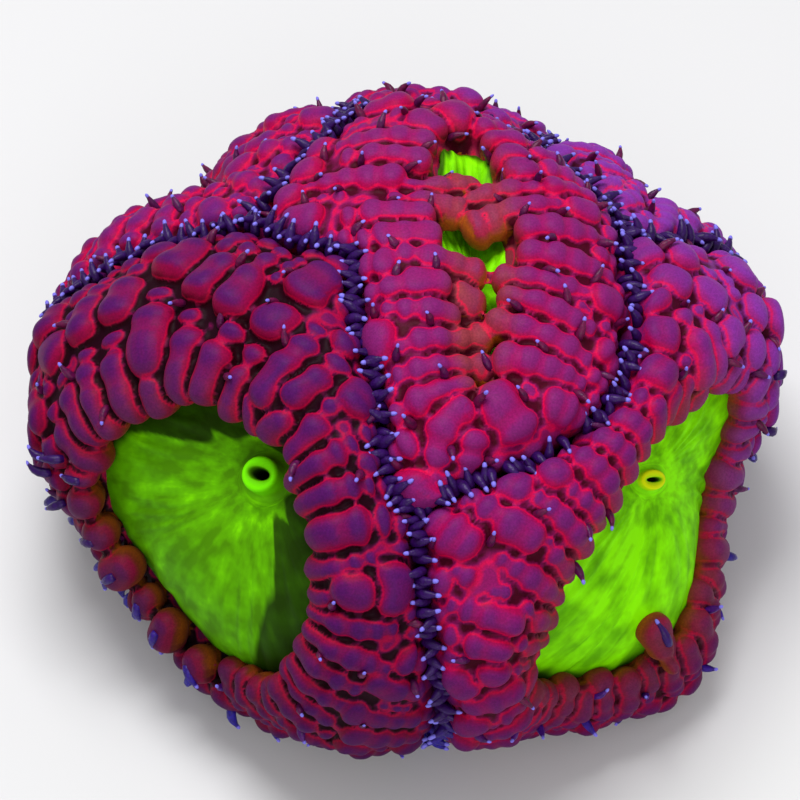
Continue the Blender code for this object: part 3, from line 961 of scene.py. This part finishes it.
def discHeights(polyp, turn, share, edgeHeight, places):
    # the disc outside its mouth: a bowl with broad waves, local swellings and fine folds
    style = discStyle
    height = style["mouthHeight"] + (edgeHeight - style["mouthHeight"]) * share ** style["slope"]
    rise, number, start = style["swell"]
    height += rise * np.sin(math.pi * share) * np.sin(number * turn + start)
    level = domePoint(places, height)[:, 1]
    for middle, reach, swell in polyps[polyp].get("discSwells", ()):
        height = height + swell * np.exp(-(((level - middle) / reach) ** 2))
    wander = sum(size * np.sin(outs * share + turns * turn + begin)
                 for size, turns, outs, begin in style["waves"])
    folds, foldRise = style["folds"], style["foldRise"]
    height += foldRise * blend((0.05, 0.5), share) * np.sin(folds * turn / 2 + 4 * wander)
    height += 0.6 * foldRise * blend((0.3, 0.8), share) * np.sin(folds * turn + 3 * wander)
    return height


def discShade(polyp, turn, share):
    # painted shadow of the mantle on the disc: 1 where it is painted dark, 0 where it is not
    number, depth = polyps[polyp]["scallops"]
    shadowFrom = np.interp(np.degrees(turn) % 360, *zip(*polyps[polyp]["shadowFrom"]))
    shadowFrom = shadowFrom + depth * (0.7 - np.abs(np.sin(number * turn + 0.5 * np.sin(3 * turn))))
    return blend(discStyle["shadeEdge"], share - shadowFrom)


def oralDisc(polyp):
    settings, sheet, style = polyps[polyp], sheets[polyp], discStyle
    stations, outerRings, mouthRings = style["stations"][polyp], style["rings"][polyp], style["mouthRings"]
    rings = outerRings + len(mouthRings)
    disc = ringedCircle(polyp + "Disc", stations, rings)
    flat = pointsOf(disc)
    turn = np.arctan2(flat[:, 1], flat[:, 0])
    station = np.rint(turn / (2 * math.pi) * stations).astype(int) % stations
    ring = np.rint((1 - np.hypot(flat[:, 0], flat[:, 1])) * (rings + 1)).astype(int)
    radius, mouth, shape = dome["radii"][0], mouthPlace(polyp), settings["mouth"]
    reach, ways, edgeHeight = discEdge(polyp, station, mouth)
    mouthSpin = spinBy(-math.radians(shape["turn"]))
    along = ways @ mouthSpin
    hole = 1 / np.hypot(along[:, 0] / shape["across"], along[:, 1] / shape["up"])
    mouthFoot = mouthRings[0][0] * hole / radius
    outside = ring < outerRings
    share = np.where(outside, 1 - ring / outerRings, 0)
    inner = np.clip(ring - outerRings, 0, len(mouthRings) - 1)
    ringShare, ringRise = np.array(mouthRings)[inner].T
    away = np.where(outside, mouthFoot + share * (reach - mouthFoot), ringShare * hole / radius)
    slit = np.where(outside | (ringShare > style["slitFrom"]), 1.0, shape["slit"])
    offset = (along * away[:, None] * np.stack([np.ones_like(slit), slit], 1)) @ mouthSpin.T
    offset[ring > rings] = 0
    places = fromChart(mouth + offset, sheet.axes)
    height = discHeights(polyp, turn, share, edgeHeight, places)
    height = np.where(outside, height, height + ringRise * shape["rise"])
    putPoints(disc, domePoint(places, height) * mm)
    wellFrom, wellFade = style["mouthShade"]
    lipAt, lipWidth = style["lip"]
    fan = share ** style["fanSpread"]
    addMark(disc, "fan", np.stack([fan * np.cos(turn), fan * np.sin(turn), share], 1))
    # painted shade inside the mouth
    addMark(disc, "mouthShade", np.where(outside, 0.0, np.clip((wellFrom - ringShare) / wellFade, 0, 1)))
    addMark(disc, "lip", np.where(outside, 0.0, np.exp(-(((ringShare - lipAt) / lipWidth) ** 2))))
    # painted shadow of the mantle on the disc
    addMark(disc, "paintedShadow", np.where(outside, discShade(polyp, turn, share), 0))
    faceOutwards()
    if (valuesOf(disc.data.vertices, "normal") @ sheet.axes[2]).mean() < 0:
        disc.data.flip_normals()
    pickOnly(disc)
    wall = disc.modifiers.new("wall", "SOLIDIFY")
    wall.thickness, wall.offset = style["thickness"] * mm, -1
    bpy.ops.object.modifier_apply(modifier=wall.name)
    bpy.ops.object.shade_smooth()
    return disc


discs = {polyp: oralDisc(polyp) for polyp in polyps}
print("oral discs made")

# tentacles: tapered clubs with pale round tips, with lengths in mm
tentacleStyle = {
    "segments": 8,
    "stops": (0.0, 0.05, 0.6, 1.3, 1.9, 2.35, 2.62, 2.74, 2.88, 3.02, 3.12),   # where its rings lie
    "outline": ((0.0, 0.36), (0.5, 0.44), (1.2, 0.46), (1.8, 0.4), (2.3, 0.28), (2.6, 0.19), (2.85, 0.2),
                (3.1, 0.11)),         # place along it and radius
    "tipFrom": 2.62,
    "bend": (0.45, 0.6),              # shares of its length that it rises, then leans
    # along the seams
    "seam": {
        "ends": (0.4, 0.3),           # left free at the seam's two ends
        "pitch": 0.72, "pitchChange": (0.75, 1.25),
        "length": (2.5, 3.4), "girth": (1.0, 1.25), "maroon": (0, 0.25),
        "height": (0.9, 1.7),         # above the floor of the seam
        "offset": (0.3, 0.9),         # to the side it leans away from
        "skew": 0.35, "lift": (0.15, 0.5), "startLean": 0.25,
        "lowest": 1.5,
        "share": {"leftTop": 1.0, "leftRight": 1.0, "rightTop": 0.75, "rightRearRight": 0.8,
                  "topRearRight": 0.9, "rearRightRear": 0.8, "topRear": 0.7, "topRearLeft": 0.9,
                  "rearLeftRear": 0.8, "leftRearLeft": 1.0},   # how thickly each is set
    },
    # single ones in the creases between lobes
    "stray": {
        "number": {"left": 46, "right": 44, "top": 60, "rearLeft": 26, "rearRight": 24, "rear": 22},
        "length": (1.9, 2.6), "girth": (0.8, 1.0), "maroon": (0.55, 1.0),
        "crease": 0.1, "rows": (0.08, 1.05), "facing": 0.2, "lowest": 2.5,   # where there may be one
        "apart": 3.6, "sink": 0.35, "startLean": 0.2, "lift": 0.6,
    },
    # on the lobes that stand out from a rim, laid outwards over them
    "lobe": {
        "length": (2.6, 3.2), "girth": (0.95, 1.1), "maroon": 0.1,
        "always": 2.5, "share": 0.7,  # the height from which a lobe always has one, and the others' share
        "sink": 0.1, "back": 0.9, "startLift": 0.3, "droop": 0.45,
    },
    # along the low side of a cup
    "rim": {
        "length": (2.6, 3.3), "girth": (1.0, 1.2), "maroon": 0.1,
        "pitch": 0.013, "rows": (0.55, 0.95), "outRow": 0.15,
        "height": 0.7, "skew": 0.4, "startLean": 0.4, "lift": 0.25,
    },
}


def straightTentacle():
    stops, segments = np.array(tentacleStyle["stops"]), tentacleStyle["segments"]
    rings = len(stops) - 1
    bpy.ops.mesh.primitive_uv_sphere_add(segments=segments, ring_count=rings, radius=1)
    club = bpy.context.object
    club.name = "tentaclePattern"
    points = pointsOf(club)
    places, radii = np.array(tentacleStyle["outline"]).T
    latitude = np.arccos(np.clip(points[:, 2], -1, 1)) / math.pi * rings
    ring = rings - np.rint(latitude).astype(int)
    x = stops[ring]
    radius = np.interp(x, places, radii)
    radius[(ring == 0) | (ring == rings)] = 0
    putPoints(club, np.column_stack([x, unit(points[:, :2]) * radius[:, None]]))
    addMark(club, "tip", (x > tentacleStyle["tipFrom"]).astype(float))
    addMark(club, "maroon", np.zeros(len(x)))
    faceOutwards()
    return {"object": club, "points": pointsOf(club), "length": float(stops[-1])}


tentaclePattern = straightTentacle()
tentacles = {polyp: [] for polyp in polyps}


def growTentacle(polyp, base, rise, lean, length, girth, maroon):
    # one that leaves base along rise and bends over towards lean
    shape = tentaclePattern["points"]
    t = shape[:, 0:1] / tentaclePattern["length"]
    rise, lean = unit(rise), unit(lean)
    rises, leans = tentacleStyle["bend"]
    knee = base + rise * length * rises
    tip = knee + lean * length * leans
    centre = (1 - t) ** 2 * base + 2 * t * (1 - t) * knee + t**2 * tip
    way = unit(2 * (1 - t) * (knee - base) + 2 * t * (tip - knee))
    side = unit(np.cross(rise, lean))
    over = np.cross(way, side)
    copy = ownCopy(tentaclePattern["object"])
    putPoints(copy, (centre + side * shape[:, 1:2] * girth + over * shape[:, 2:3] * girth) * mm)
    copy.data.attributes["maroon"].data.foreach_set("value", np.full(len(shape), maroon, np.float32))
    tentacles[polyp].append(copy)


def seamTentacles(seam, sides):
    # they lean to one side of the seam and the other in turn
    style = tentacleStyle["seam"]
    ways = seamCurve(seam, steps=24)
    line = domePoint(ways, np.zeros(len(ways)))
    travel = np.concatenate([[0], np.cumsum(np.linalg.norm(np.diff(line, axis=0), axis=1))])
    (place, endGap), turn = style["ends"], 0
    while place < travel[-1] - endGap:
        if chance.random() < style["share"][seam]:
            i = min(int(np.searchsorted(travel, place)), len(line) - 2)
            normal = unit(domePoint(ways[i:i + 1], np.ones(1))[0] - line[i])
            along = unit(line[i + 1] - line[max(i - 1, 0)])
            across = np.cross(normal, along)
            side = sides[turn % 2]
            middle = domePoint(sheets[side].axes[2][None])[0]
            towards = 1 if across @ (middle - line[i]) > 0 else -1
            base = (line[i] + normal * chance.uniform(*style["height"])
                    - towards * across * chance.uniform(*style["offset"]))
            if base[2] > style["lowest"]:
                lean = (towards * across + along * chance.normal(0, style["skew"])
                        + normal * chance.uniform(*style["lift"]))
                rise = normal + style["startLean"] * towards * across
                growTentacle(side, base, rise, lean, chance.uniform(*style["length"]),
                             chance.uniform(*style["girth"]), chance.uniform(*style["maroon"]))
        place += style["pitch"] * chance.uniform(*style["pitchChange"])
        turn += 1


def strayTentacles(polyp):
    style, skin = tentacleStyle["stray"], skins[polyp]
    points = pointsOf(skin) / mm
    row = markOf(skin, "row")
    first, last = style["rows"]
    fit = np.flatnonzero((markOf(skin, "crease") > style["crease"]) & (row > first) & (row < last)
                         & (markOf(skin, "facing") > style["facing"]) & (points[:, 2] > style["lowest"]))
    chance.shuffle(fit)
    kept = []
    for i in fit:
        if len(kept) >= style["number"][polyp]:
            break
        if not kept or np.linalg.norm(points[kept] - points[i], axis=1).min() >= style["apart"]:
            kept.append(i)
    for i, normal in zip(kept, nearestRows(points[kept], sheets[polyp])[1]):
        drift = chance.normal(0, 1, 3)
        drift -= normal * (drift @ normal)
        base, rise = points[i] - normal * style["sink"], normal + style["startLean"] * unit(drift)
        growTentacle(polyp, base, rise, drift + style["lift"] * normal, chance.uniform(*style["length"]),
                     chance.uniform(*style["girth"]), chance.uniform(*style["maroon"]))


def lobeTentacles(polyp):
    style = tentacleStyle["lobe"]
    for base, normal, way, height in standing[polyp]:
        if height > style["always"] or chance.random() < style["share"]:
            start = base + normal * (height - style["sink"]) - way * style["back"]
            growTentacle(polyp, start, way + style["startLift"] * normal, way - style["droop"] * normal,
                         chance.uniform(*style["length"]), chance.uniform(*style["girth"]), style["maroon"])


def rimTentacles(polyp):
    style, settings, sheet = tentacleStyle["rim"], polyps[polyp], sheets[polyp]
    for f in np.arange(0, 1, style["pitch"]):
        near = nearSide(polyp, f, settings.get("roundSides", ()))
        if not near or chance.random() > settings["rimTentacles"]:
            continue
        row = chance.uniform(*style["rows"])
        base, normal = sheet.at(f, row), sheet.normalAt(f, row)
        out = unit(sheet.at(f, row - style["outRow"]) - base)
        drift = unit(np.cross(normal, out)) * chance.normal(0, style["skew"])
        start, lean = base + normal * style["height"], out + drift + style["lift"] * normal
        growTentacle(polyp, start, normal + style["startLean"] * out, lean,
                     chance.uniform(*style["length"]), chance.uniform(*style["girth"]), style["maroon"])


def joinedTentacles(polyp):
    pickOnly(*tentacles[polyp])
    bpy.ops.object.join()
    piece = bpy.context.object
    putPoints(piece, keepInside(pointsOf(piece) / mm) * mm)
    bpy.ops.object.shade_smooth()
    print(polyp, "tentacles:", len(tentacles[polyp]))
    return piece


seamSides = {}
for polyp, settings in polyps.items():
    for seam in settings["border"]:
        if seam != foot:
            seamSides.setdefault(seam.lstrip("-"), []).append(polyp)
for seam, sides in seamSides.items():
    seamTentacles(seam, sides)

tentaclePieces = {}
for polyp in polyps:
    strayTentacles(polyp)
    lobeTentacles(polyp)
    rimTentacles(polyp)
    tentaclePieces[polyp] = joinedTentacles(polyp)

for pattern in [tentaclePattern, *lobeKinds.values()]:
    bpy.data.objects.remove(pattern["object"], do_unlink=True)


def newMaterial(name):
    material = bpy.data.materials.new(name)
    material.use_nodes = True
    return material, material.node_tree, material.node_tree.nodes["Principled BSDF"]


def addNode(tree, kind, **values):
    made = tree.nodes.new("ShaderNode" + kind)
    for name, value in values.items():
        if name.startswith("in_"):
            key = name[3:]
            made.inputs[int(key) if key.isdigit() else key].default_value = value
        else:
            setattr(made, name, value)
    return made


def plug(tree, socket, value):
    # a fixed value, or a link from another node
    if isinstance(value, (int, float, tuple)):
        socket.default_value = value
    else:
        tree.links.new(value, socket)


def markNode(tree, name, output="Fac"):
    return addNode(tree, "Attribute", attribute_name=name).outputs[output]


def placeNode(tree):
    return addNode(tree, "TexCoord").outputs["Object"]


def axesNode(tree, place):
    split = addNode(tree, "SeparateXYZ")
    plug(tree, split.inputs[0], place)
    return split.outputs


def rampNode(tree, source, stops):
    ramp = addNode(tree, "ValToRGB")
    items = ramp.color_ramp.elements
    while len(items) < len(stops):
        items.new(0.5)
    for item, (place, colour) in zip(items, stops):
        item.position, item.color = place, colour
    plug(tree, ramp.inputs[0], source)
    return ramp.outputs[0]


def spanNode(tree, source, low, high, start=0.0, end=1.0):
    span = addNode(tree, "MapRange", in_1=low, in_2=high, in_3=start, in_4=end)
    plug(tree, span.inputs[0], source)
    return span.outputs[0]


def mixNode(tree, share, first, second, mode="MIX"):
    mix = addNode(tree, "Mix", data_type="RGBA", blend_type=mode)
    for place, value in ((0, share), (6, first), (7, second)):
        plug(tree, mix.inputs[place], value)
    return mix.outputs[2]


def mathNode(tree, kind, first, second):
    step = addNode(tree, "Math", operation=kind)
    plug(tree, step.inputs[0], first)
    plug(tree, step.inputs[1], second)
    return step.outputs[0]


def noiseNode(tree, source, scale, detail=2.0, roughness=0.5):
    noise = addNode(tree, "TexNoise", in_Scale=scale, in_Detail=detail, in_Roughness=roughness)
    plug(tree, noise.inputs["Vector"], source)
    return noise.outputs[0]


def finish(tree, shader, look, colour, grain):
    plug(tree, shader.inputs["Base Color"], colour)
    shader.inputs["Roughness"].default_value = look["roughness"]
    shader.inputs["Specular IOR Level"].default_value = look["gloss"]
    strength, depth = look["relief"]
    bump = addNode(tree, "Bump", in_Strength=strength, in_Distance=depth)
    plug(tree, bump.inputs["Height"], grain)
    plug(tree, shader.inputs["Normal"], bump.outputs[0])


fleshLook = {
    # crease, shaded crease and under are painted shade: in the gaps, on the undersides and in the hollows of
    # the lobes
    "crease": tone(58, 0, 14), "shadedCrease": tone(20, 0, 3), "under": tone(92, 0, 18),
    # the bright red at the start of this line is a painted glow round each lobe
    "outline": tone(220, 4, 60), "flank": tone(162, 2, 64), "shoulder": tone(148, 10, 80),
    "crown": tone(92, 26, 106), "discSide": tone(134, 52, 54), "discEdge": tone(176, 92, 10),
    "lilac": tone(132, 54, 160), "lilacShare": 0.75,
    "outlineShare": 0.6,               # how strongly the painted glow round each lobe shows
    "grainDark": (0.82, 0.82, 0.86, 1), "grainLight": (1.14, 1.12, 1.16, 1),
    "paintedFootShade": (0.5, 0.5, 0.62), "lowSpan": (0.004, 0.032),   # painted shade: the colony is darker towards the foot: metres
    "roughness": 0.5, "gloss": 0.05, "relief": (0.25, 0.00006),
    "sheen": 0.03, "sheenTint": (1.0, 0.2, 0.5, 1.0),
    "grain": 5200, "patches": 220,     # scales of the speckle and of the broad patches
}
# what differs from polyp to polyp: a tint and its share, how brown the flesh is beside the disc, how far it
# is dimmed with painted shade, and the painted shade in the gaps between lobes: its colour and where it
# starts and is full
plainFlesh = {"paintedShadeDim": 1.0, "discSide": 0.6, "gap": "crease", "gapSpan": (0.48, 0.78)}
mantleLooks = {
    # the left polyp is dimmed more and its gaps are darker, all painted shade
    "left": {**plainFlesh, "tint": (tone(92, 14, 100), 0.5), "discSide": 0.45, "paintedShadeDim": 0.64,
             "gap": "shadedCrease", "gapSpan": (0.42, 0.66)},
    "right": {**plainFlesh, "tint": (tone(124, 20, 74), 0.35), "discSide": 0.85, "paintedShadeDim": 0.95},
    "top": {**plainFlesh, "tint": (tone(142, 28, 76), 0.4), "discSide": 0.9},
    "rearLeft": {**plainFlesh, "tint": (tone(120, 22, 88), 0.3)},
    "rearRight": {**plainFlesh, "tint": (tone(112, 44, 142), 0.55)},
    "rear": {**plainFlesh, "tint": (tone(130, 30, 96), 0.3)},
}


def fleshMaterial(polyp):
    material, tree, shader = newMaterial(polyp + "Mantle")
    look, own = fleshLook, mantleLooks[polyp]
    place = placeNode(tree)
    x, y, z = axesNode(tree, place)
    facing, row, edge = (markNode(tree, name) for name in ("facing", "row", "edge"))
    patches = noiseNode(tree, place, look["patches"])
    grain = noiseNode(tree, place, look["grain"], roughness=0.6)
    # from the foot of each lobe, dark there with painted shade, to its shoulder
    shifted = mathNode(tree, "ADD", facing, spanNode(tree, patches, 0.3, 0.7, -0.07, 0.07))
    base = rampNode(tree, shifted, ((0.3, look["under"]), (0.5, look["flank"]), (0.86, look["shoulder"])))
    # the purple sits on the top of each bead and fades in the necks between them
    domed = spanNode(tree, markNode(tree, "crease"), -0.02, -0.1, 0.3, 1.0)
    crown = mathNode(tree, "MULTIPLY", spanNode(tree, shifted, 0.7, 0.97), domed)
    tint, share = own["tint"]
    base = mixNode(tree, crown, base, look["crown"])
    base = mixNode(tree, mathNode(tree, "MULTIPLY", crown, share), base, tint)
    # browner beside the disc, more lilac on the right at the back
    nearDisc = mathNode(tree, "MULTIPLY", spanNode(tree, row, 0.84, 1.08, 0.0, own["discSide"]),
                        spanNode(tree, patches, 0.35, 0.6, 0.5, 1.0))
    base = mixNode(tree, nearDisc, base, look["discSide"])
    rightRear = mathNode(tree, "ADD", x, mathNode(tree, "MULTIPLY", y, 0.6))
    lilac = mathNode(tree, "MULTIPLY", spanNode(tree, rightRear, 0.019, 0.034, 0.0, look["lilacShare"]),
                     spanNode(tree, facing, 0.4, 0.9, 0.3, 1.0))
    base = mixNode(tree, lilac, base, look["lilac"])
    # a painted bright glow round each lobe, painted shade in the hollows and a dark gap of painted shade
    # outside it
    none, some = (0, 0, 0, 1), (*[look["outlineShare"]] * 3, 1)
    outline = rampNode(tree, edge, ((0.2, none), (0.34, some), (0.4, some), (0.56, none)))
    base = mixNode(tree, outline, base, look["outline"])
    base = mixNode(tree, spanNode(tree, markNode(tree, "hollow"), 0.5, 1.3, 0.0, 0.8), base, look["under"])
    base = mixNode(tree, spanNode(tree, edge, *own["gapSpan"], 0.0, 0.95), base, look[own["gap"]])
    # the lip over the disc
    lip = mathNode(tree, "MULTIPLY", spanNode(tree, row, 1.0, 1.07),
                   spanNode(tree, facing, 0.55, 0.1, 0.0, 0.75))
    base = mixNode(tree, lip, base, look["discEdge"])
    # painted shade: the flesh is dimmed by the polyp's own share and is darker towards the foot
    dim = own["paintedShadeDim"]
    low = rampNode(tree, spanNode(tree, z, *look["lowSpan"]),
                   ((0.0, (*(value * dim for value in look["paintedFootShade"]), 1)), (1.0, (dim, dim, dim, 1))))
    base = mixNode(tree, 1.0, base, low, "MULTIPLY")
    speckle = rampNode(tree, grain, ((0.35, look["grainDark"]), (0.68, look["grainLight"])))
    base = mixNode(tree, 1.0, base, speckle, "MULTIPLY")
    shader.inputs["Sheen Weight"].default_value = look["sheen"]
    shader.inputs["Sheen Tint"].default_value = look["sheenTint"]
    finish(tree, shader, look, base, grain)
    return material


discLook = {
    # deep is the dark green of the painted shadow on the disc and of the painted shade inside the mouth
    "deep": tone(14, 24, 0), "green": tone(70, 128, 0), "bright": tone(92, 172, 0),
    "yellow": tone(136, 240, 0), "lip": tone(112, 232, 0), "rightLip": tone(218, 228, 0),
    "stops": (0.36, 0.52, 0.72), "leftLift": 0.05, "otherLift": -0.13,   # a lower lift is a brighter disc
    "streakScale": (5.0, 5.0, 1.7), "patches": 300,
    "roughness": 0.6, "gloss": 0.06, "relief": (0.3, 0.00012),
}


def discMaterial(polyp):
    material, tree, shader = newMaterial(polyp + "DiscFlesh")
    look = discLook
    rays = addNode(tree, "Mapping", in_Scale=look["streakScale"])
    plug(tree, rays.inputs["Vector"], markNode(tree, "fan", "Vector"))
    streaks = noiseNode(tree, rays.outputs[0], 1.5, 3)
    patches = noiseNode(tree, placeNode(tree), look["patches"], 3)
    mottle = mathNode(tree, "ADD", mathNode(tree, "MULTIPLY", streaks, 0.45),
                      mathNode(tree, "MULTIPLY", patches, 0.55))
    lift = look["leftLift"] if polyp == "left" else look["otherLift"]
    colours = (look["green"], look["bright"], look["yellow"])
    base = rampNode(tree, mottle, [(stop + lift, colour) for stop, colour in zip(look["stops"], colours)])
    lip = look["rightLip" if polyp == "right" else "lip"]
    base = mixNode(tree, spanNode(tree, markNode(tree, "lip"), 0.2, 0.9, 0.0, 0.9), base, lip)
    # painted shadow of the mantle on the disc, then painted shade inside the mouth
    base = mixNode(tree, spanNode(tree, markNode(tree, "paintedShadow"), 0.1, 0.9, 0.0, 0.85), base, look["deep"])
    base = mixNode(tree, markNode(tree, "mouthShade"), base, look["deep"])
    finish(tree, shader, look, base, streaks)
    return material


tentacleLook = {
    "indigo": tone(46, 8, 84), "maroon": tone(96, 10, 60), "blue": tone(36, 28, 160),
    "tip": tone(120, 112, 220), "dark": tone(26, 8, 50), "grain": 2600,
    "roughness": 0.4, "gloss": 0.2, "relief": (0.7, 0.0001),
}


def tentacleMaterial():
    material, tree, shader = newMaterial("tentacleFlesh")
    look, place = tentacleLook, placeNode(tree)
    grain = noiseNode(tree, place, look["grain"], 1)
    base = mixNode(tree, spanNode(tree, markNode(tree, "maroon"), 0.3, 0.8), look["indigo"], look["maroon"])
    low = spanNode(tree, axesNode(tree, place)[2], 0.016, 0.006, 0.0, 0.75)
    base = mixNode(tree, low, base, look["blue"])
    base = mixNode(tree, spanNode(tree, grain, 0.4, 0.65, 0.0, 0.5), base, look["dark"])
    base = mixNode(tree, markNode(tree, "tip"), base, look["tip"])
    finish(tree, shader, look, base, grain)
    return material


boneLook = {
    "pale": tone(206, 196, 176), "pore": tone(150, 134, 112), "grain": 1600, "cutRise": 0.05,
    "roughness": 0.85, "gloss": 0.5, "relief": (0.6, 0.00015),
}


def boneMaterial():
    # the bare skeleton on the cut under the colony
    material, tree, shader = newMaterial("cutSkeleton")
    grain = noiseNode(tree, placeNode(tree), boneLook["grain"], 3, 0.6)
    pores = rampNode(tree, grain, ((0.42, boneLook["pore"]), (0.55, boneLook["pale"])))
    finish(tree, shader, boneLook, pores, grain)
    return material


def bareCut(skin):
    # the cut's faces take the second material
    heights = valuesOf(skin.data.polygons, "center")[:, 2]
    skin.data.polygons.foreach_set("material_index", (heights < boneLook["cutRise"] * mm).astype(np.int32))


tentacleFlesh, cutBone = tentacleMaterial(), boneMaterial()
nodeNames = {"left": "left", "right": "right", "top": "top",
             "rearLeft": "rear_left", "rearRight": "rear_right", "rear": "rear"}
for polyp, node in nodeNames.items():
    skin, disc, arms = skins[polyp], discs[polyp], tentaclePieces[polyp]
    for piece, name, material, slot in (
            (skin, node + "_mantle", fleshMaterial(polyp), "mantle_flesh"),
            (disc, node + "_disc_skin", discMaterial(polyp), "disc_flesh"),
            (arms, node + "_tentacles", tentacleFlesh, "tentacle_flesh")):
        piece.name = piece.data.name = name
        piece.data.materials.clear()
        piece.data.materials.append(material)
        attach(piece, "root")
    skin.data.materials.append(cutBone)
    bareCut(skin)
    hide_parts(node + "_polyp")
    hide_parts(node + "_oral_disc")
print("materials set")

floorLook = {"size": 4, "colour": (0.66, 0.66, 0.67, 1), "roughness": 0.9}
bpy.ops.mesh.primitive_plane_add(size=floorLook["size"], location=(0, 0, 0))
floor = bpy.context.object
floor.name = "floor"
floorMaterial, _, floorShader = newMaterial("paleFloor")
floorShader.inputs["Base Color"].default_value = floorLook["colour"]
floorShader.inputs["Roughness"].default_value = floorLook["roughness"]
floor.data.materials.append(floorMaterial)

room = {"colour": (1, 1, 1, 1), "strength": 0.5}
world = bpy.data.worlds.new("softRoom")
world.use_nodes = True
sky = world.node_tree.nodes["Background"]
sky.inputs["Color"].default_value = room["colour"]
sky.inputs["Strength"].default_value = room["strength"]
bpy.context.scene.world = world

# places in mm, power in watts
lamps = {
    "overhead": {"place": (-40, 60, 330), "aim": (0, 0, 15), "size": 160, "power": 1.0},
    "front": {"place": (60, -330, 200), "aim": (0, 0, 15), "size": 240, "power": 0.5},
}
for name, look in lamps.items():
    lamp = bpy.data.objects.new(name, bpy.data.lights.new(name, "AREA"))
    bpy.context.collection.objects.link(lamp)
    lamp.data.energy, lamp.data.size = look["power"], look["size"] * mm
    lamp.location = Vector(look["place"]) * mm
    lamp.rotation_mode = "QUATERNION"
    lamp.rotation_quaternion = (Vector(look["aim"]) - Vector(look["place"])).to_track_quat("-Z", "Y")

# lengths in mm, the lens too
cameraLook = {"aim": (-0.4, 1.1, 17.0), "elevation": 50.0, "distance": 300.0, "lens": 135.0}
camera = bpy.data.objects.new("camera", bpy.data.cameras.new("camera"))
bpy.context.collection.objects.link(camera)
tilt = math.radians(cameraLook["elevation"])
back = Vector((0, -math.cos(tilt), math.sin(tilt)))
camera.location = (Vector(cameraLook["aim"]) + back * cameraLook["distance"]) * mm
camera.rotation_euler = (math.pi / 2 - tilt, 0, 0)
camera.data.lens = cameraLook["lens"]
camera.data.clip_start, camera.data.clip_end = 0.01, 10   # metres
bpy.context.scene.camera = camera
bpy.context.scene.view_settings.view_transform = "Standard"

bpy.context.view_layer.update()
